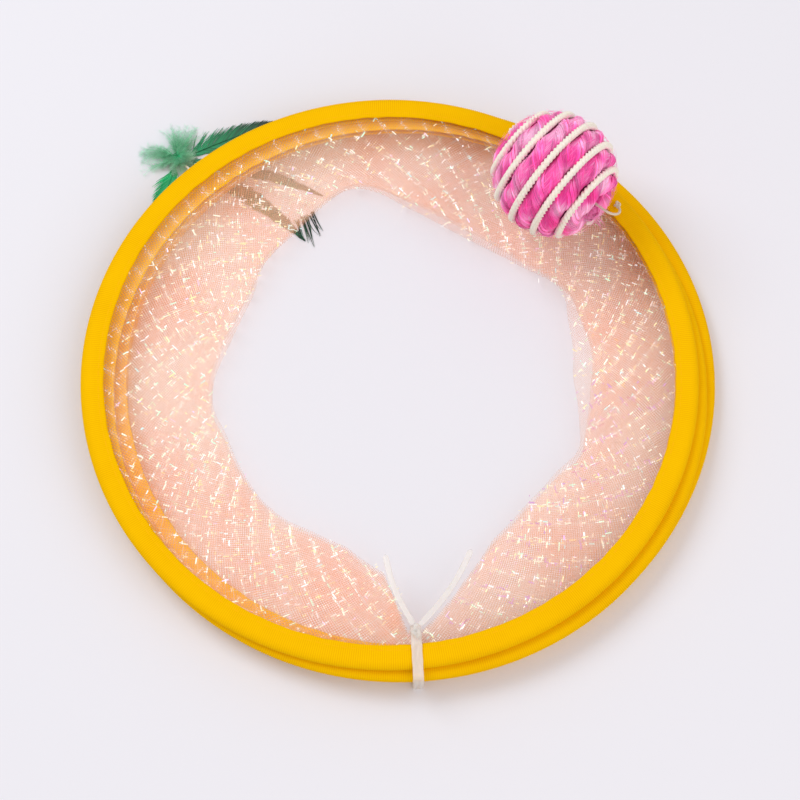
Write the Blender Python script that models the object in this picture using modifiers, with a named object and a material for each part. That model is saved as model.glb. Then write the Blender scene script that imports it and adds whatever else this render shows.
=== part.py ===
"""Collapsible mesh cat tunnel, folded flat and tied shut.

Four hoops of taped spring wire, three bays of sheer mesh folded inwards between them, a rope-wound ball
on an elastic and a feather lure. Metres, +Z up, origin on the floor at the middle of the folded stack.
"""

import math

import bmesh
import bpy
import numpy as np
from mathutils import Matrix, Vector

# Running gap between pieces that touch on the real object
clearance = 0.0003
# How far a cutter runs past the piece that it cuts
overrun = 0.002

# Hoops, numbered from the top of the stack
hoop_outer_radius = 0.121
tape_width = 0.009
tape_wall = 0.0008
wire_diameter = 0.0012
ferrule_length = 0.008
ferrule_wall = 0.00025
ferrule_play = 0.00015
wire_end_gap = 0.0006
# Sideways slip of each hoop in the folded stack, as shares of the tape's width
hoop_shift_shares = ((-0.49, 0.22), (-0.08, -0.16), (0.37, 0.48), (0.33, 0.44))
# Facets round a hoop, and the facet where each wire is joined
hoop_steps = 48
ferrule_facets = (8, 14, 40, 5)

# Mesh bays
mesh_thickness = 0.0007
mesh_seam_depth = 0.005
# Inner fold of a bay: degrees on from the tie, and the fold's radius as a share of the hoop's
fold_shares = (
    (0.0, 0.850), (1.6, 0.850), (5.7, 0.800), (13.5, 0.712), (23.9, 0.627), (39.1, 0.590), (54.0, 0.594),
    (62.7, 0.630), (70.8, 0.597), (86.4, 0.557), (107.8, 0.586), (115.4, 0.618), (121.7, 0.610),
    (132.2, 0.575), (143.4, 0.567), (152.8, 0.572), (161.7, 0.589), (168.6, 0.614), (176.7, 0.647),
    (182.2, 0.694), (190.1, 0.730), (200.0, 0.688), (206.9, 0.655), (212.3, 0.639), (226.2, 0.619),
    (233.4, 0.582), (245.5, 0.578), (254.5, 0.584), (265.9, 0.610), (278.2, 0.618), (286.5, 0.595),
    (301.0, 0.604), (311.0, 0.614), (320.3, 0.612), (328.7, 0.598), (340.5, 0.605), (352.5, 0.668),
    (355.4, 0.745), (358.4, 0.850),
)
# How far each bay's fold stays back from that line, as a share of the hoop's radius, and how often it does
fold_wander_shares = (0.0, 0.014, 0.011)
fold_wander_waves = (2, 3, 4)
# The lower bays are drawn in less on the right: where, over how many degrees, and by what share of the radius
slack_angle = 92.0
slack_reach = 22.0
fold_slack_shares = (0.0, 0.070, 0.062)
# The sheets close up towards the fold by these shares of the mesh's thickness
sheet_closing_shares = (0.35, 0.75)
sheet_knee_share = 0.45
# Where the fold comes within this share of the tape's inner radius, the sheets stay flat
flat_depth_share = 0.2
# Height of the folds' soft ripple
ripple_height = 0.0005
ripple_waves = 5

# Tie strap round the stack
tie_angle = -87.0
tie_width = 0.004
tie_thickness = 0.0005
tie_corner_radius = 0.0015
tie_knot_length = 0.0056
tie_knot_height = 0.0028
tail_width = 0.0022
# Tails: their ends as degrees on from the tie and shares of the hoop's radius
tail_end_shares = {"left": (-7.6, 0.62), "right": (17.0, 0.64)}
tail_bow_share = 0.05

# Ball, its two windings and its elastic
ball_diameter = 0.050
rope_diameter = 0.0072
cord_diameter = 0.0024
winding_pitch = 0.0090
# Where the windings start round the ball's axis, in degrees
winding_start_angle = -112.0
pole_opening_radius = 0.0026
cord_proud = 0.0001
loop_points = 24
ball_bore_radius = 0.0012
elastic_diameter = 0.0014
stop_knot_diameter = 0.0040
ball_anchor_diameter = 0.0032
# Direction from the tunnel's middle in degrees, and how far the ball leans in over the mesh
ball_angle = 48.0
ball_inset = 0.015
ball_rest_gap = 0.0024
ball_anchor_angle = 37.2
ball_anchor_inset_share = 0.62
ball_axis_direction = (0.788, -0.615, -0.06)
# How far the elastic runs straight on out of the ball, as a share of the ball's radius
elastic_lead_share = 0.16

# Feather lure, tied to the bottom hoop
lure_angle = 134.4
lure_anchor_diameter = 0.0024
lure_cord_diameter = 0.0012
lure_cord_length = 0.0110
# Height of the cord's low end, as a share of the binding's
lure_cord_low_share = 0.55
binding_radius = 0.0026
binding_height = 0.0030
binding_round_share = 0.25
feather_thickness = 0.0005
quill_width = 0.0006
# A quill thins towards its tip by this share, and its foot in the vane is this much wider than its ridge
quill_taper_share = 0.6
quill_foot_share = 1.3
vane_edge_share = 0.5
longest_feather = 0.072
# Feathers: heading in degrees, then length and the vane's half width left and right of the quill as shares
# of the longest feather, then how many degrees the quill bends to the left
feathers = {
    "feather_long": (27.0, 0.57, 0.086, 0.042, -5.7),
    "feather_upper": (-6.0, 0.84, 0.064, 0.052, -20.0),
    "feather_lower": (-24.0, 1.0, 0.066, 0.075, -26.0),
    "feather_side": (-110.0, 0.39, 0.042, 0.047, 9.2),
}
feather_stations = 13
bare_quill_share = 0.16
# Vane outline: an exponent under 1 sets its widest place nearer the root, and one under 1 fills its ends out
vane_lean = 0.75
vane_fullness = 0.8
# Barbs have parted at every so many stations left and right, down to this share less of the width
barb_split_share = 0.30
barb_split_stations = (4, 5)
down_start = 62.0
down_end = 226.0
down_rays = 15
down_length = 0.018
down_valley_share = 0.42
down_spread_share = 0.28
# The lowest tape is pressed in over the feathers within this many degrees of them
press_reach = 26.0

# Sizes that follow from those above
press_depth = max(tie_thickness, feather_thickness) + clearance
sheets_and_gaps = 2 * mesh_thickness + 3 * clearance
mouth_height = max(sheets_and_gaps, wire_diameter + press_depth + clearance)
tape_height = mouth_height + 2 * tape_wall
tape_inner_radius = hoop_outer_radius - tape_width
bead_radius = tape_height / 2
bead_centre_radius = hoop_outer_radius - bead_radius
stack_pitch = tape_height + clearance
hoop_count = len(hoop_shift_shares)
stack_height = (hoop_count - 1) * stack_pitch + tape_height
seam_radius = tape_inner_radius + mesh_seam_depth
step_angle = 360.0 / hoop_steps

YELLOW = (1.0, 0.55, 0.0)
PEACH = (0.97, 0.64, 0.50)
PINK = (0.93, 0.05, 0.39)
CREAM = (0.83, 0.74, 0.58)
GREEN = (0.01, 0.30, 0.11)
DARK_GREEN = (0.01, 0.12, 0.06)
CLEAR = (0.85, 0.85, 0.88)
STEEL = (0.56, 0.57, 0.58)
FOAM = (0.90, 0.88, 0.84)

for old in list(bpy.data.objects):
    bpy.data.objects.remove(old)
parts = bpy.data.collections.new("cat_tunnel")
cutters = bpy.data.collections.new("cutters")
bpy.context.scene.collection.children.link(parts)
bpy.context.scene.collection.children.link(cutters)


def material(name, colour, roughness, metallic=0.0, alpha=1.0):
    made = bpy.data.materials.new(name)
    made.use_nodes = True
    shader = made.node_tree.nodes["Principled BSDF"]
    shader.inputs["Base Color"].default_value = (*colour, 1.0)
    shader.inputs["Roughness"].default_value = roughness
    shader.inputs["Metallic"].default_value = metallic
    shader.inputs["Alpha"].default_value = alpha
    return made


tape_cloth = material("woven_yellow_tape", YELLOW, 0.8)
sheer_mesh = material("sheer_peach_mesh", PEACH, 0.5, alpha=0.6)
sisal_pink = material("pink_sisal_rope", PINK, 0.9)
cord_cream = material("cream_twisted_cord", CREAM, 0.9)
feather_green = material("dyed_green_feather", GREEN, 0.7)
feather_dark = material("dyed_dark_green_feather", DARK_GREEN, 0.6)
clear_strap = material("clear_soft_plastic", CLEAR, 0.3, alpha=0.5)
spring_steel = material("spring_steel", STEEL, 0.35, metallic=1.0)
foam = material("foam_core", FOAM, 0.9)
elastic = material("cream_elastic", CREAM, 0.8)


def add(name, data, finish, at=(0.0, 0.0, 0.0), parent=None, smooth=40.0):
    """One named sub-part, with its material, in the part's collection."""
    made = bpy.data.objects.new(name, data)
    made.location = at
    made.parent = parent
    parts.objects.link(made)
    data.materials.append(finish)
    if isinstance(data, bpy.types.Mesh):
        data.shade_smooth()
        data.set_sharp_from_angle(angle=math.radians(smooth))
    return made


def empty(name, at, turn=None, parent=None):
    """A bare pivot that moving pieces hang from."""
    made = bpy.data.objects.new(name, None)
    made.location = at
    made.parent = parent
    if turn is not None:
        made.rotation_mode = "QUATERNION"
        made.rotation_quaternion = turn
    parts.objects.link(made)
    return made


def direction(angle):
    return np.array((math.cos(math.radians(angle)), math.sin(math.radians(angle)), 0.0))


def eased(step):
    """Slow start and slow end between 0 and 1."""
    return step * step * (3 - 2 * step)


def mesh_of(name, shape):
    """Mesh data from a bmesh, which is freed."""
    data = bpy.data.meshes.new(name)
    shape.to_mesh(data)
    shape.free()
    return data


def ball_mesh(name, radius, segments, rings):
    shape = bmesh.new()
    bmesh.ops.create_uvsphere(shape, u_segments=segments, v_segments=rings, radius=radius)
    return mesh_of(name, shape)


def peg_mesh(name, radius, depth, segments):
    shape = bmesh.new()
    bmesh.ops.create_cone(
        shape, cap_ends=True, segments=segments, radius1=radius, radius2=radius, depth=depth
    )
    return mesh_of(name, shape)


def hoop_centre(number):
    """Middle of a hoop's underside in the folded stack."""
    x_share, y_share = hoop_shift_shares[number - 1]
    height = (hoop_count - number) * stack_pitch
    return np.array((x_share * tape_width, y_share * tape_width, height))


def turned(name, outline, steps, finish, **placing):
    """A closed outline of (radius, height) points turned about Z."""
    data = bpy.data.meshes.new(name)
    corners = [(radius, 0.0, height) for radius, height in outline]
    edges = [(i, (i + 1) % len(corners)) for i in range(len(corners))]
    data.from_pydata(corners, edges, [])
    made = add(name, data, finish, **placing)
    screw = made.modifiers.new("turn", "SCREW")
    screw.angle = 2 * math.pi
    screw.steps = steps
    screw.render_steps = steps
    screw.use_merge_vertices = True
    screw.merge_threshold = clearance / 10
    screw.use_smooth_shade = True
    return made


def baked(made):
    """Swaps an object's mesh for its evaluated one, so that its points can be moved."""
    bpy.context.view_layer.update()
    graph = bpy.context.evaluated_depsgraph_get()
    data = bpy.data.meshes.new_from_object(made.evaluated_get(graph))
    made.modifiers.clear()
    made.data = data
    return made


def tube(name, points, diameter, finish, sides=1, **placing):
    """A round cord or wire with capped ends along a list of points."""
    data = bpy.data.curves.new(name, "CURVE")
    data.dimensions = "3D"
    data.bevel_depth = diameter / 2
    data.bevel_resolution = sides
    data.use_fill_caps = True
    spline = data.splines.new("POLY")
    spline.points.add(len(points) - 1)
    for made, place in zip(spline.points, points):
        made.co = (*place, 1.0)
    return add(name, data, finish, **placing)


def loft(name, sections, closed, finish, **placing):
    """Skins rings of points of equal count, and caps both ends unless they meet in a ring."""
    count, size = len(sections), len(sections[0])
    points = [tuple(point) for section in sections for point in section]
    faces = []
    for i in range(count if closed else count - 1):
        here, there = i * size, (i + 1) % count * size
        for j in range(size):
            k = (j + 1) % size
            faces.append((here + j, here + k, there + k, there + j))
    if not closed:
        faces.append(tuple(reversed(range(size))))
        faces.append(tuple(range((count - 1) * size, count * size)))
    data = bpy.data.meshes.new(name)
    data.from_pydata(points, [], faces)
    shape = bmesh.new()
    shape.from_mesh(data)
    bmesh.ops.recalc_face_normals(shape, faces=shape.faces)
    shape.to_mesh(data)
    shape.free()
    return add(name, data, finish, **placing)


def flat_outline(name, rings, thickness, finish, **placing):
    """A flat shape: the first ring is its edge and the others are holes."""
    data = bpy.data.curves.new(name, "CURVE")
    data.dimensions = "2D"
    data.fill_mode = "BOTH"
    data.extrude = thickness / 2
    for ring in rings:
        spline = data.splines.new("POLY")
        spline.points.add(len(ring) - 1)
        for made, (x, y) in zip(spline.points, ring):
            made.co = (x, y, 0.0, 1.0)
        spline.use_cyclic_u = True
    return add(name, data, finish, **placing)


def knot(name, size, finish, at, parent=None, turn=0.0):
    """A pulled-tight knot: a ball squashed to its length, width and height."""
    data = ball_mesh(name, 0.5, 12, 8)
    data.transform(Matrix.Rotation(math.radians(turn), 4, "Z") @ Matrix.Diagonal((*size, 1.0)))
    return add(name, data, finish, at=at, parent=parent)


# Hoops: folded tape, spring wire and ferrule


def press(angle):
    """Share of the press depth that the lowest tape gives at an angle: full over feathers and strap."""

    def beyond(centre, reach):
        off = abs((angle - centre + 180.0) % 360.0 - 180.0) - reach
        return min(1.0, max(0.0, 1.0 - off / step_angle))

    return max(beyond(lure_angle, press_reach), beyond(tie_angle, 0.0))


def tape_outline():
    """Hairpin section of the folded tape, from its upper lip down round the outside to its lower lip."""

    def bend(radius, angles):
        return [
            (bead_centre_radius + radius * math.cos(a), bead_radius + radius * math.sin(a))
            for a in map(math.radians, angles)
        ]

    outside = bend(bead_radius, (90, 45, 0, -45, -90))
    inside = bend(mouth_height / 2, (-90, -30, 30, 90))
    upper_lip = [(tape_inner_radius, tape_height - tape_wall), (tape_inner_radius, tape_height)]
    lower_lip = [(tape_inner_radius, 0.0), (tape_inner_radius, tape_wall)]
    return upper_lip + outside + lower_lip + inside


def make_tape(number):
    name = f"hoop_{number}_binding"
    made = turned(name, tape_outline(), hoop_steps, tape_cloth, at=hoop_centre(number))
    made.rotation_euler.z = math.radians(tie_angle)
    if number == hoop_count:
        baked(made)
        for point in made.data.vertices:
            angle = math.degrees(math.atan2(point.co.y, point.co.x)) + tie_angle
            if point.co.z < bead_radius - clearance:
                point.co.z += press(angle) * press_depth


def wire_point(number, facet):
    """Corner of the wire at a whole facet number, on the centre line of the tape's bead."""
    angle = tie_angle + facet * step_angle
    rise = press(angle) * press_depth / 2 if number == hoop_count else 0.0
    height = np.array((0.0, 0.0, bead_radius + rise))
    return hoop_centre(number) + bead_centre_radius * direction(angle) + height


def make_wire(number):
    """One turn of wire, whose ends meet inside the ferrule in the middle of a facet."""
    first = ferrule_facets[number - 1]
    corners = [wire_point(number, first + 1 + i) for i in range(hoop_steps)]
    middle = (corners[0] + corners[-1]) / 2
    along = (corners[0] - corners[-1]) / np.linalg.norm(corners[0] - corners[-1])
    ends = [middle + along * wire_end_gap / 2, middle - along * wire_end_gap / 2]
    tube(f"hoop_{number}_wire", [ends[0], *corners, ends[1]], wire_diameter, spring_steel)

    inner = wire_diameter / 2 + ferrule_play
    outer = inner + ferrule_wall
    half = ferrule_length / 2
    sleeve = [(outer, half), (outer, -half), (inner, -half), (inner, half)]
    made = turned(f"hoop_{number}_ferrule", sleeve, 12, spring_steel, at=middle)
    made.rotation_mode = "QUATERNION"
    made.rotation_quaternion = Vector(along).to_track_quat("Z", "Y")


# Mesh bays: one sheet from hoop to hoop, folded inwards


def fold_radius(bay, angle):
    """Radius of a bay's inner fold at an angle, read between the hand-set shares."""
    on = (angle - tie_angle) % 360.0
    angles = [a for a, _ in fold_shares] + [360.0]
    shares = [s for _, s in fold_shares] + [fold_shares[0][1]]
    wander = fold_wander_shares[bay - 1] * (1 + math.sin(math.radians(on) * fold_wander_waves[bay - 1]))
    slack = fold_slack_shares[bay - 1] * math.exp(-(((on - slack_angle) / slack_reach) ** 2))
    calm = math.sin(math.radians(on) / 2) ** 2
    return hoop_outer_radius * (float(np.interp(on, angles, shares)) + wander * calm + slack)


def bay_section(bay, angle):
    """Closed section of a folded bay: the sheet's outer face in to the fold and out again, then its
    inner face back. The seam allowance at each end lies in the mouth of a tape."""
    upper, lower = hoop_centre(bay), hoop_centre(bay + 1)
    half = mesh_thickness / 2
    high = upper[2] + tape_wall + clearance + half
    low = lower[2] + tape_height - tape_wall - clearance - half
    middle = (high + low) / 2
    fold = fold_radius(bay, angle)
    reach = seam_radius - fold
    hairpin = min((high - low) / 2, reach * (1 - sheet_knee_share))
    radii = (seam_radius, fold + sheet_knee_share * reach, fold + hairpin)
    ease = min(1.0, (tape_inner_radius - fold) / (flat_depth_share * tape_inner_radius))
    closings = (0.0, *(share * ease * mesh_thickness for share in sheet_closing_shares))
    ripple = ease * ripple_height * math.sin(math.radians(angle) * ripple_waves)

    def place(centre, radius, height):
        share = (radius - fold) / reach
        spot = centre[:2] * share + radius * direction(angle)[:2]
        return (*spot, height + ripple * (1 - share))

    def run(centre, height, sign, side):
        """Points of one sheet from the seam inwards; side picks its outer or its inner face."""
        return [
            place(centre, radius, height - sign * closing + sign * side * half)
            for radius, closing in zip(radii, closings)
        ]

    outer = run(upper, high, 1, 1) + [place(upper, fold, middle)] + run(lower, low, -1, 1)[::-1]
    inner_tip = place(upper, fold + mesh_thickness, middle)
    inner = run(lower, low, -1, -1) + [inner_tip] + run(upper, high, 1, -1)[::-1]
    return outer + inner


def make_bay(bay):
    """A loft of unlike sections: the fold's depth changes all the way round, most of all at the tie."""
    whole = {i * step_angle for i in range(hoop_steps)}
    notch = {on for on, _ in fold_shares if on < 2 * step_angle or on > 360.0 - 2 * step_angle}
    angles = sorted(whole | notch)
    kept = [a for i, a in enumerate(angles) if i == 0 or a - angles[i - 1] > 1.0]
    sections = [bay_section(bay, tie_angle + on) for on in kept]
    loft(f"mesh_bay_{bay}", sections, True, sheer_mesh)


# Tie: a strap round the whole stack at the front, with a knot and two loose tails


def make_tie():
    edges = [hoop_centre(i + 1)[:2] @ direction(tie_angle)[:2] for i in range(hoop_count)]
    outer = hoop_outer_radius + max(edges) + clearance
    inner = hoop_outer_radius * fold_shares[0][1] - clearance
    bottom, top = tie_thickness, stack_height + clearance

    def rounded(grow):
        """Rounded rectangle of the loop's inner face, grown outwards."""
        radius = tie_corner_radius + grow
        corners = (
            (outer - tie_corner_radius, top - tie_corner_radius, 0),
            (inner + tie_corner_radius, top - tie_corner_radius, 90),
            (inner + tie_corner_radius, bottom + tie_corner_radius, 180),
            (outer - tie_corner_radius, bottom + tie_corner_radius, 270),
        )
        return [
            (x + radius * math.cos(math.radians(a)), y + radius * math.sin(math.radians(a)))
            for x, y, start in corners
            for a in (start, start + 30, start + 60, start + 90)
        ]

    band = flat_outline("tie_band", [rounded(tie_thickness), rounded(0.0)], tie_width, clear_strap)
    band.rotation_euler = (math.pi / 2, 0.0, math.radians(tie_angle))

    across = inner + tie_knot_length / 2
    height = top + tie_thickness + clearance + tie_knot_height / 2
    place = across * direction(tie_angle) + np.array((0.0, 0.0, height))
    size = (tie_knot_length, tie_width, tie_knot_height)
    knot("tie_knot", size, clear_strap, place, turn=tie_angle)
    for side, (turn, share) in tail_end_shares.items():
        make_tail(side, place, turn, share)


def make_tail(side, start, turn, share):
    """A flat tail from the knot along the edge of the notch, a little bowed, down onto the mesh."""
    end = hoop_outer_radius * share * direction(tie_angle + turn)
    end[2] = hoop_centre(1)[2] + tape_wall + clearance + mesh_thickness + ripple_height
    end[2] += clearance + tie_thickness / 2
    along = end - start
    along[2] = 0.0
    along /= np.linalg.norm(along)
    begin = start + along * (tie_knot_length / 2 + clearance)
    reach = np.linalg.norm((end - begin)[:2])
    aside = np.cross((0.0, 0.0, 1.0), along)
    sections = []
    for step in np.linspace(0.0, 1.0, 10):
        bow = tail_bow_share * reach * math.sin(math.pi * step) * (1 if turn < 0 else -1)
        spot = begin + along * step * reach + aside * bow
        spot[2] = begin[2] + (end[2] - begin[2]) * eased(step)
        half = aside * tail_width / 2
        up = np.array((0.0, 0.0, tie_thickness / 2))
        sections.append([spot - half - up, spot + half - up, spot + half + up, spot - half + up])
    loft(f"tie_tail_{side}", sections, False, clear_strap)


# Ball: bored core, rope winding, cord winding, elastic and knots


def winding(name, diameter, centre_radius, phase, finish, parent):
    """One unbroken spherical spiral from pole to pole. Its pitch is even along the meridian, so the
    polar angle grows by the same amount each turn. Prints the least gap of the tube to itself."""
    rope_radius = ball_diameter / 2 - rope_diameter / 2
    start = math.asin((pole_opening_radius + rope_diameter / 2) / rope_radius)
    per_turn = winding_pitch / rope_radius
    first = start + phase * per_turn
    turns = (math.pi - start - first) / per_turn
    count = int(turns * loop_points) + 1
    turn = np.linspace(0.0, turns, count)
    polar = first + per_turn * turn
    round_about = 2 * math.pi * turn + math.radians(winding_start_angle)
    across = np.sin(polar)
    ring = (across * np.cos(round_about), across * np.sin(round_about), np.cos(polar))
    points = centre_radius * np.stack(ring, 1)
    apart = np.linalg.norm(points[:, None] - points[None], axis=2)
    far = np.abs(np.subtract.outer(np.arange(count), np.arange(count))) > loop_points // 3
    gap = (apart[far].min() - diameter) * 1000
    print(f"{name}: {turns:.2f} turns, least gap to itself {gap:.2f} mm")
    return tube(name, points, diameter, finish, parent=parent)


def make_ball():
    centre_radius = tape_inner_radius - ball_inset
    rise = math.sqrt((ball_diameter / 2 + ball_rest_gap) ** 2 - ball_inset**2)
    centre = hoop_centre(1) + centre_radius * direction(ball_angle)
    centre[2] += tape_height + rise
    axis = Vector(ball_axis_direction).normalized()
    spin = empty("ball_spin_axis", centre, axis.to_track_quat("Z", "Y"))

    core_radius = ball_diameter / 2 - rope_diameter - clearance
    core = add("ball_core", ball_mesh("ball_core", core_radius, 20, 12), foam, parent=spin)
    depth = 2 * (core_radius + overrun)
    cutter = bpy.data.objects.new("ball_bore", peg_mesh("ball_bore", ball_bore_radius, depth, 12))
    cutter.parent = spin
    cutter.hide_render = True
    cutter.display_type = "WIRE"
    cutters.objects.link(cutter)
    bore = core.modifiers.new("bore", "BOOLEAN")
    bore.object = cutter
    bore.solver = "EXACT"

    rope_radius = ball_diameter / 2 - rope_diameter / 2
    winding("ball_pink_rope", rope_diameter, rope_radius, 0.0, sisal_pink, spin)
    cord_radius = ball_diameter / 2 - cord_diameter / 2 - cord_proud
    winding("ball_cream_cord", cord_diameter, cord_radius, 0.5, cord_cream, spin)
    make_elastic(centre, np.array(axis), core_radius)


def make_elastic(centre, axis, core_radius):
    """The elastic runs from the stop knot through the bore, leaves straight, then bends to its anchor."""
    anchor_radius = hoop_outer_radius - ball_anchor_inset_share * tape_width
    anchor = hoop_centre(1) + anchor_radius * direction(ball_anchor_angle)
    anchor[2] += tape_height + clearance + ball_anchor_diameter / 2
    size = (ball_anchor_diameter, ball_anchor_diameter, ball_anchor_diameter)
    knot("ball_anchor_knot", size, elastic, anchor)
    hang = empty("ball_hanger_axis", anchor)

    knot_radius = stop_knot_diameter / 2
    far = centre - axis * (core_radius + clearance + knot_radius)
    size = (stop_knot_diameter, stop_knot_diameter, stop_knot_diameter)
    knot("ball_stop_knot", size, elastic, far - anchor, parent=hang)

    start = far + axis * (knot_radius + clearance)
    leave = centre + axis * (ball_diameter / 2)
    lead = leave + axis * (elastic_lead_share * ball_diameter / 2)
    away = (lead + anchor) / 2 - centre
    away /= np.linalg.norm(away)
    bulge = (lead + anchor) / 2 + away * (elastic_lead_share * ball_diameter / 2)
    last = anchor + (bulge - anchor) / np.linalg.norm(bulge - anchor) * (
        ball_anchor_diameter / 2 + clearance
    )
    route = [start, leave]
    for step in np.linspace(0.0, 1.0, 9)[1:]:
        near = (1 - step) ** 3 * leave + 3 * (1 - step) ** 2 * step * lead
        route.append(near + 3 * (1 - step) * step**2 * bulge + step**3 * last)
    tube("ball_elastic", [point - anchor for point in route], elastic_diameter, elastic, parent=hang)


# Lure: anchor knot, cord, bound root, four feathers and down


def feather(name, root, heading, length_share, width_shares, bend, parent):
    """A loft along the quill. The section is a flat vane with a low ridge, and the vane is notched
    where its barbs have parted."""
    sections = []
    edge = feather_thickness * vane_edge_share
    for i, step in enumerate(np.linspace(0.0, 1.0, feather_stations)):
        reach = longest_feather * length_share * step
        along = root + reach * direction(heading + bend * step / 2)
        aside = direction(heading + bend * step + 90.0)
        on = (step - bare_quill_share) / (1 - bare_quill_share)
        swell = math.sin(math.pi * on**vane_lean) ** vane_fullness if 0 < on < 1 else 0.0
        ridge = quill_width / 2 * (1 - quill_taper_share * step)
        left, right = (
            ridge * quill_foot_share
            + longest_feather * share * swell * (1 - barb_split_share * (i % every == every - 1))
            for share, every in zip(width_shares, barb_split_stations)
        )
        places = (
            (left, 0.0), (-right, 0.0), (-right, edge),
            (-ridge, feather_thickness), (ridge, feather_thickness), (left, edge),
        )
        sections.append([along + aside * x + np.array((0.0, 0.0, z)) for x, z in places])
    loft(name, sections, False, feather_green if bend > 0 else feather_dark, parent=parent)


def make_lure():
    outward = direction(lure_angle)
    lowest = hoop_centre(hoop_count)
    knot_radius = lure_anchor_diameter / 2
    anchor = lowest + (hoop_outer_radius + clearance + knot_radius) * outward
    anchor[2] += bead_radius
    size = (lure_anchor_diameter, lure_anchor_diameter, lure_anchor_diameter)
    knot("lure_anchor_knot", size, elastic, anchor)
    pivot = empty("lure_axis", (anchor[0], anchor[1], 0.0))

    first = outward * (knot_radius + clearance)
    last = first + outward * lure_cord_length
    low = binding_height * lure_cord_low_share
    route = []
    for step in np.linspace(0.0, 1.0, 6):
        route.append(first + (last - first) * step)
        route[-1][2] = anchor[2] + (low - anchor[2]) * eased(step)
    tube("lure_cord", route, lure_cord_diameter, elastic, parent=pivot)

    root = last + outward * (clearance + binding_radius)
    data = peg_mesh("lure_binding", binding_radius, binding_height, 16)
    place = root + np.array((0.0, 0.0, binding_height / 2))
    binding = add("lure_binding", data, feather_green, at=place, parent=pivot)
    rounding = binding.modifiers.new("round", "BEVEL")
    rounding.width = binding_radius * binding_round_share
    rounding.segments = 2

    for name, (heading, length_share, left_share, right_share, bend) in feathers.items():
        start = root + direction(heading) * (binding_radius + clearance)
        feather(name, start, heading, length_share, (left_share, right_share), bend, pivot)
    make_down(root, pivot)


def make_down(root, parent):
    """Down: a fan of pointed rays of uneven length round the bound root."""
    inner = binding_radius + clearance
    angles = np.linspace(down_start, down_end, 2 * down_rays + 1)
    ring = []
    for i, angle in enumerate(angles):
        uneven = 1.0 + down_spread_share * math.sin(7.0 * math.radians(angle) + i)
        radius = inner + down_length * (uneven if i % 2 else down_valley_share)
        ring.append(tuple(radius * direction(angle)[:2]))
    for angle in angles[::-2]:
        ring.append(tuple(inner * direction(angle)[:2]))
    place = root + np.array((0.0, 0.0, feather_thickness / 2))
    flat_outline("feather_down", [ring], feather_thickness, feather_green, at=place, parent=parent)


for hoop in range(1, hoop_count + 1):
    make_tape(hoop)
    make_wire(hoop)
for bay_number in range(1, hoop_count):
    make_bay(bay_number)
make_tie()
make_ball()
make_lure()
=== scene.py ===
# %% [markdown]
# # A cat tunnel, folded flat
#
# The tunnel is four hoops of spring wire in yellow tape, with sheer peach cloth between them. It is pressed flat,
# its cloth lies folded inwards, and a clear strap ties the stack at the front. A rope-wound ball hangs on an
# elastic, and a bunch of dyed feathers hangs on a cord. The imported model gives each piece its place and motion.
# This lesson gives each piece its surface. All shapes here are in millimetres until they become a mesh.

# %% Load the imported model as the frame
import math

import bmesh
import bpy
import numpy as np
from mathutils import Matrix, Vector


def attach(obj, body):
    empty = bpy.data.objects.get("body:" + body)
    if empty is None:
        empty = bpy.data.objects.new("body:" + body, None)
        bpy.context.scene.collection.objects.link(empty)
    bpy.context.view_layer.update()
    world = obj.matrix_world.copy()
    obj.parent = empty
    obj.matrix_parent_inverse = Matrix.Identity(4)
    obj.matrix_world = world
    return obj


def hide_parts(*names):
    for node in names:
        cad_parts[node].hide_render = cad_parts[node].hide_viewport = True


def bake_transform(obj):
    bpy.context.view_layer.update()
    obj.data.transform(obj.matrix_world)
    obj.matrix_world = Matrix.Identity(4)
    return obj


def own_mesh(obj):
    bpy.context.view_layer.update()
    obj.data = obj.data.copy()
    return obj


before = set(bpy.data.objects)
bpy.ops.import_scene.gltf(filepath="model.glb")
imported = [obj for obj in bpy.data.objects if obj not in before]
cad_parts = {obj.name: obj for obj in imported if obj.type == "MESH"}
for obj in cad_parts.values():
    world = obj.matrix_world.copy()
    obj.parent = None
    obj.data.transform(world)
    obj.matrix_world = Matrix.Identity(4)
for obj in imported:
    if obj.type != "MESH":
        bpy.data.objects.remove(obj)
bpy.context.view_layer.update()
MM = 0.001

# %% [markdown]
# ## The camera, the table and the light
#
# The picture looks down at the stack from the front, 67.6 degrees above the table. One pixel is 0.399 mm at the
# table from 740 mm away, and that fixes the lens. The shift puts the middle of the stack a little above the
# middle of the picture, without turning the camera.

# %% Camera
elevation = math.radians(67.6)
distance = 740 * MM
pixel = 0.399 * MM
picture = 800
sensor = 36.0
view = bpy.data.cameras.new("camera")
view.sensor_width = sensor
view.lens = distance / pixel / picture * sensor
view.shift_x = -1 / picture
view.shift_y = -14 / picture
view.clip_start = 0.01
camera = bpy.data.objects.new("camera", view)
camera.location = (0.0, -math.cos(elevation) * distance, math.sin(elevation) * distance)
camera.rotation_euler = (math.pi / 2 - elevation, 0.0, 0.0)
bpy.context.scene.collection.objects.link(camera)
bpy.context.scene.camera = camera
print(f"lens {view.lens:.1f} mm")

# %% [markdown]
# ## Colours and node helpers
#
# Colours are written as the hex values that a screen shows, and one function turns them into the linear values
# that light is counted in. A second small function adds any node: its settings come by name, and a socket is
# either set to a value or linked to another node's socket. The scale of a pattern is written as so many grains
# to the millimetre, so that it can be held against the real thing.


# %% Helpers for colours and nodes
def linear(code):
    """Linear RGBA of an sRGB hex colour: each channel's curve is undone."""
    channels = [int(code[i : i + 2], 16) / 255 for i in (1, 3, 5)]
    return (*(c / 12.92 if c <= 0.04045 else ((c + 0.055) / 1.055) ** 2.4 for c in channels), 1.0)


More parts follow.
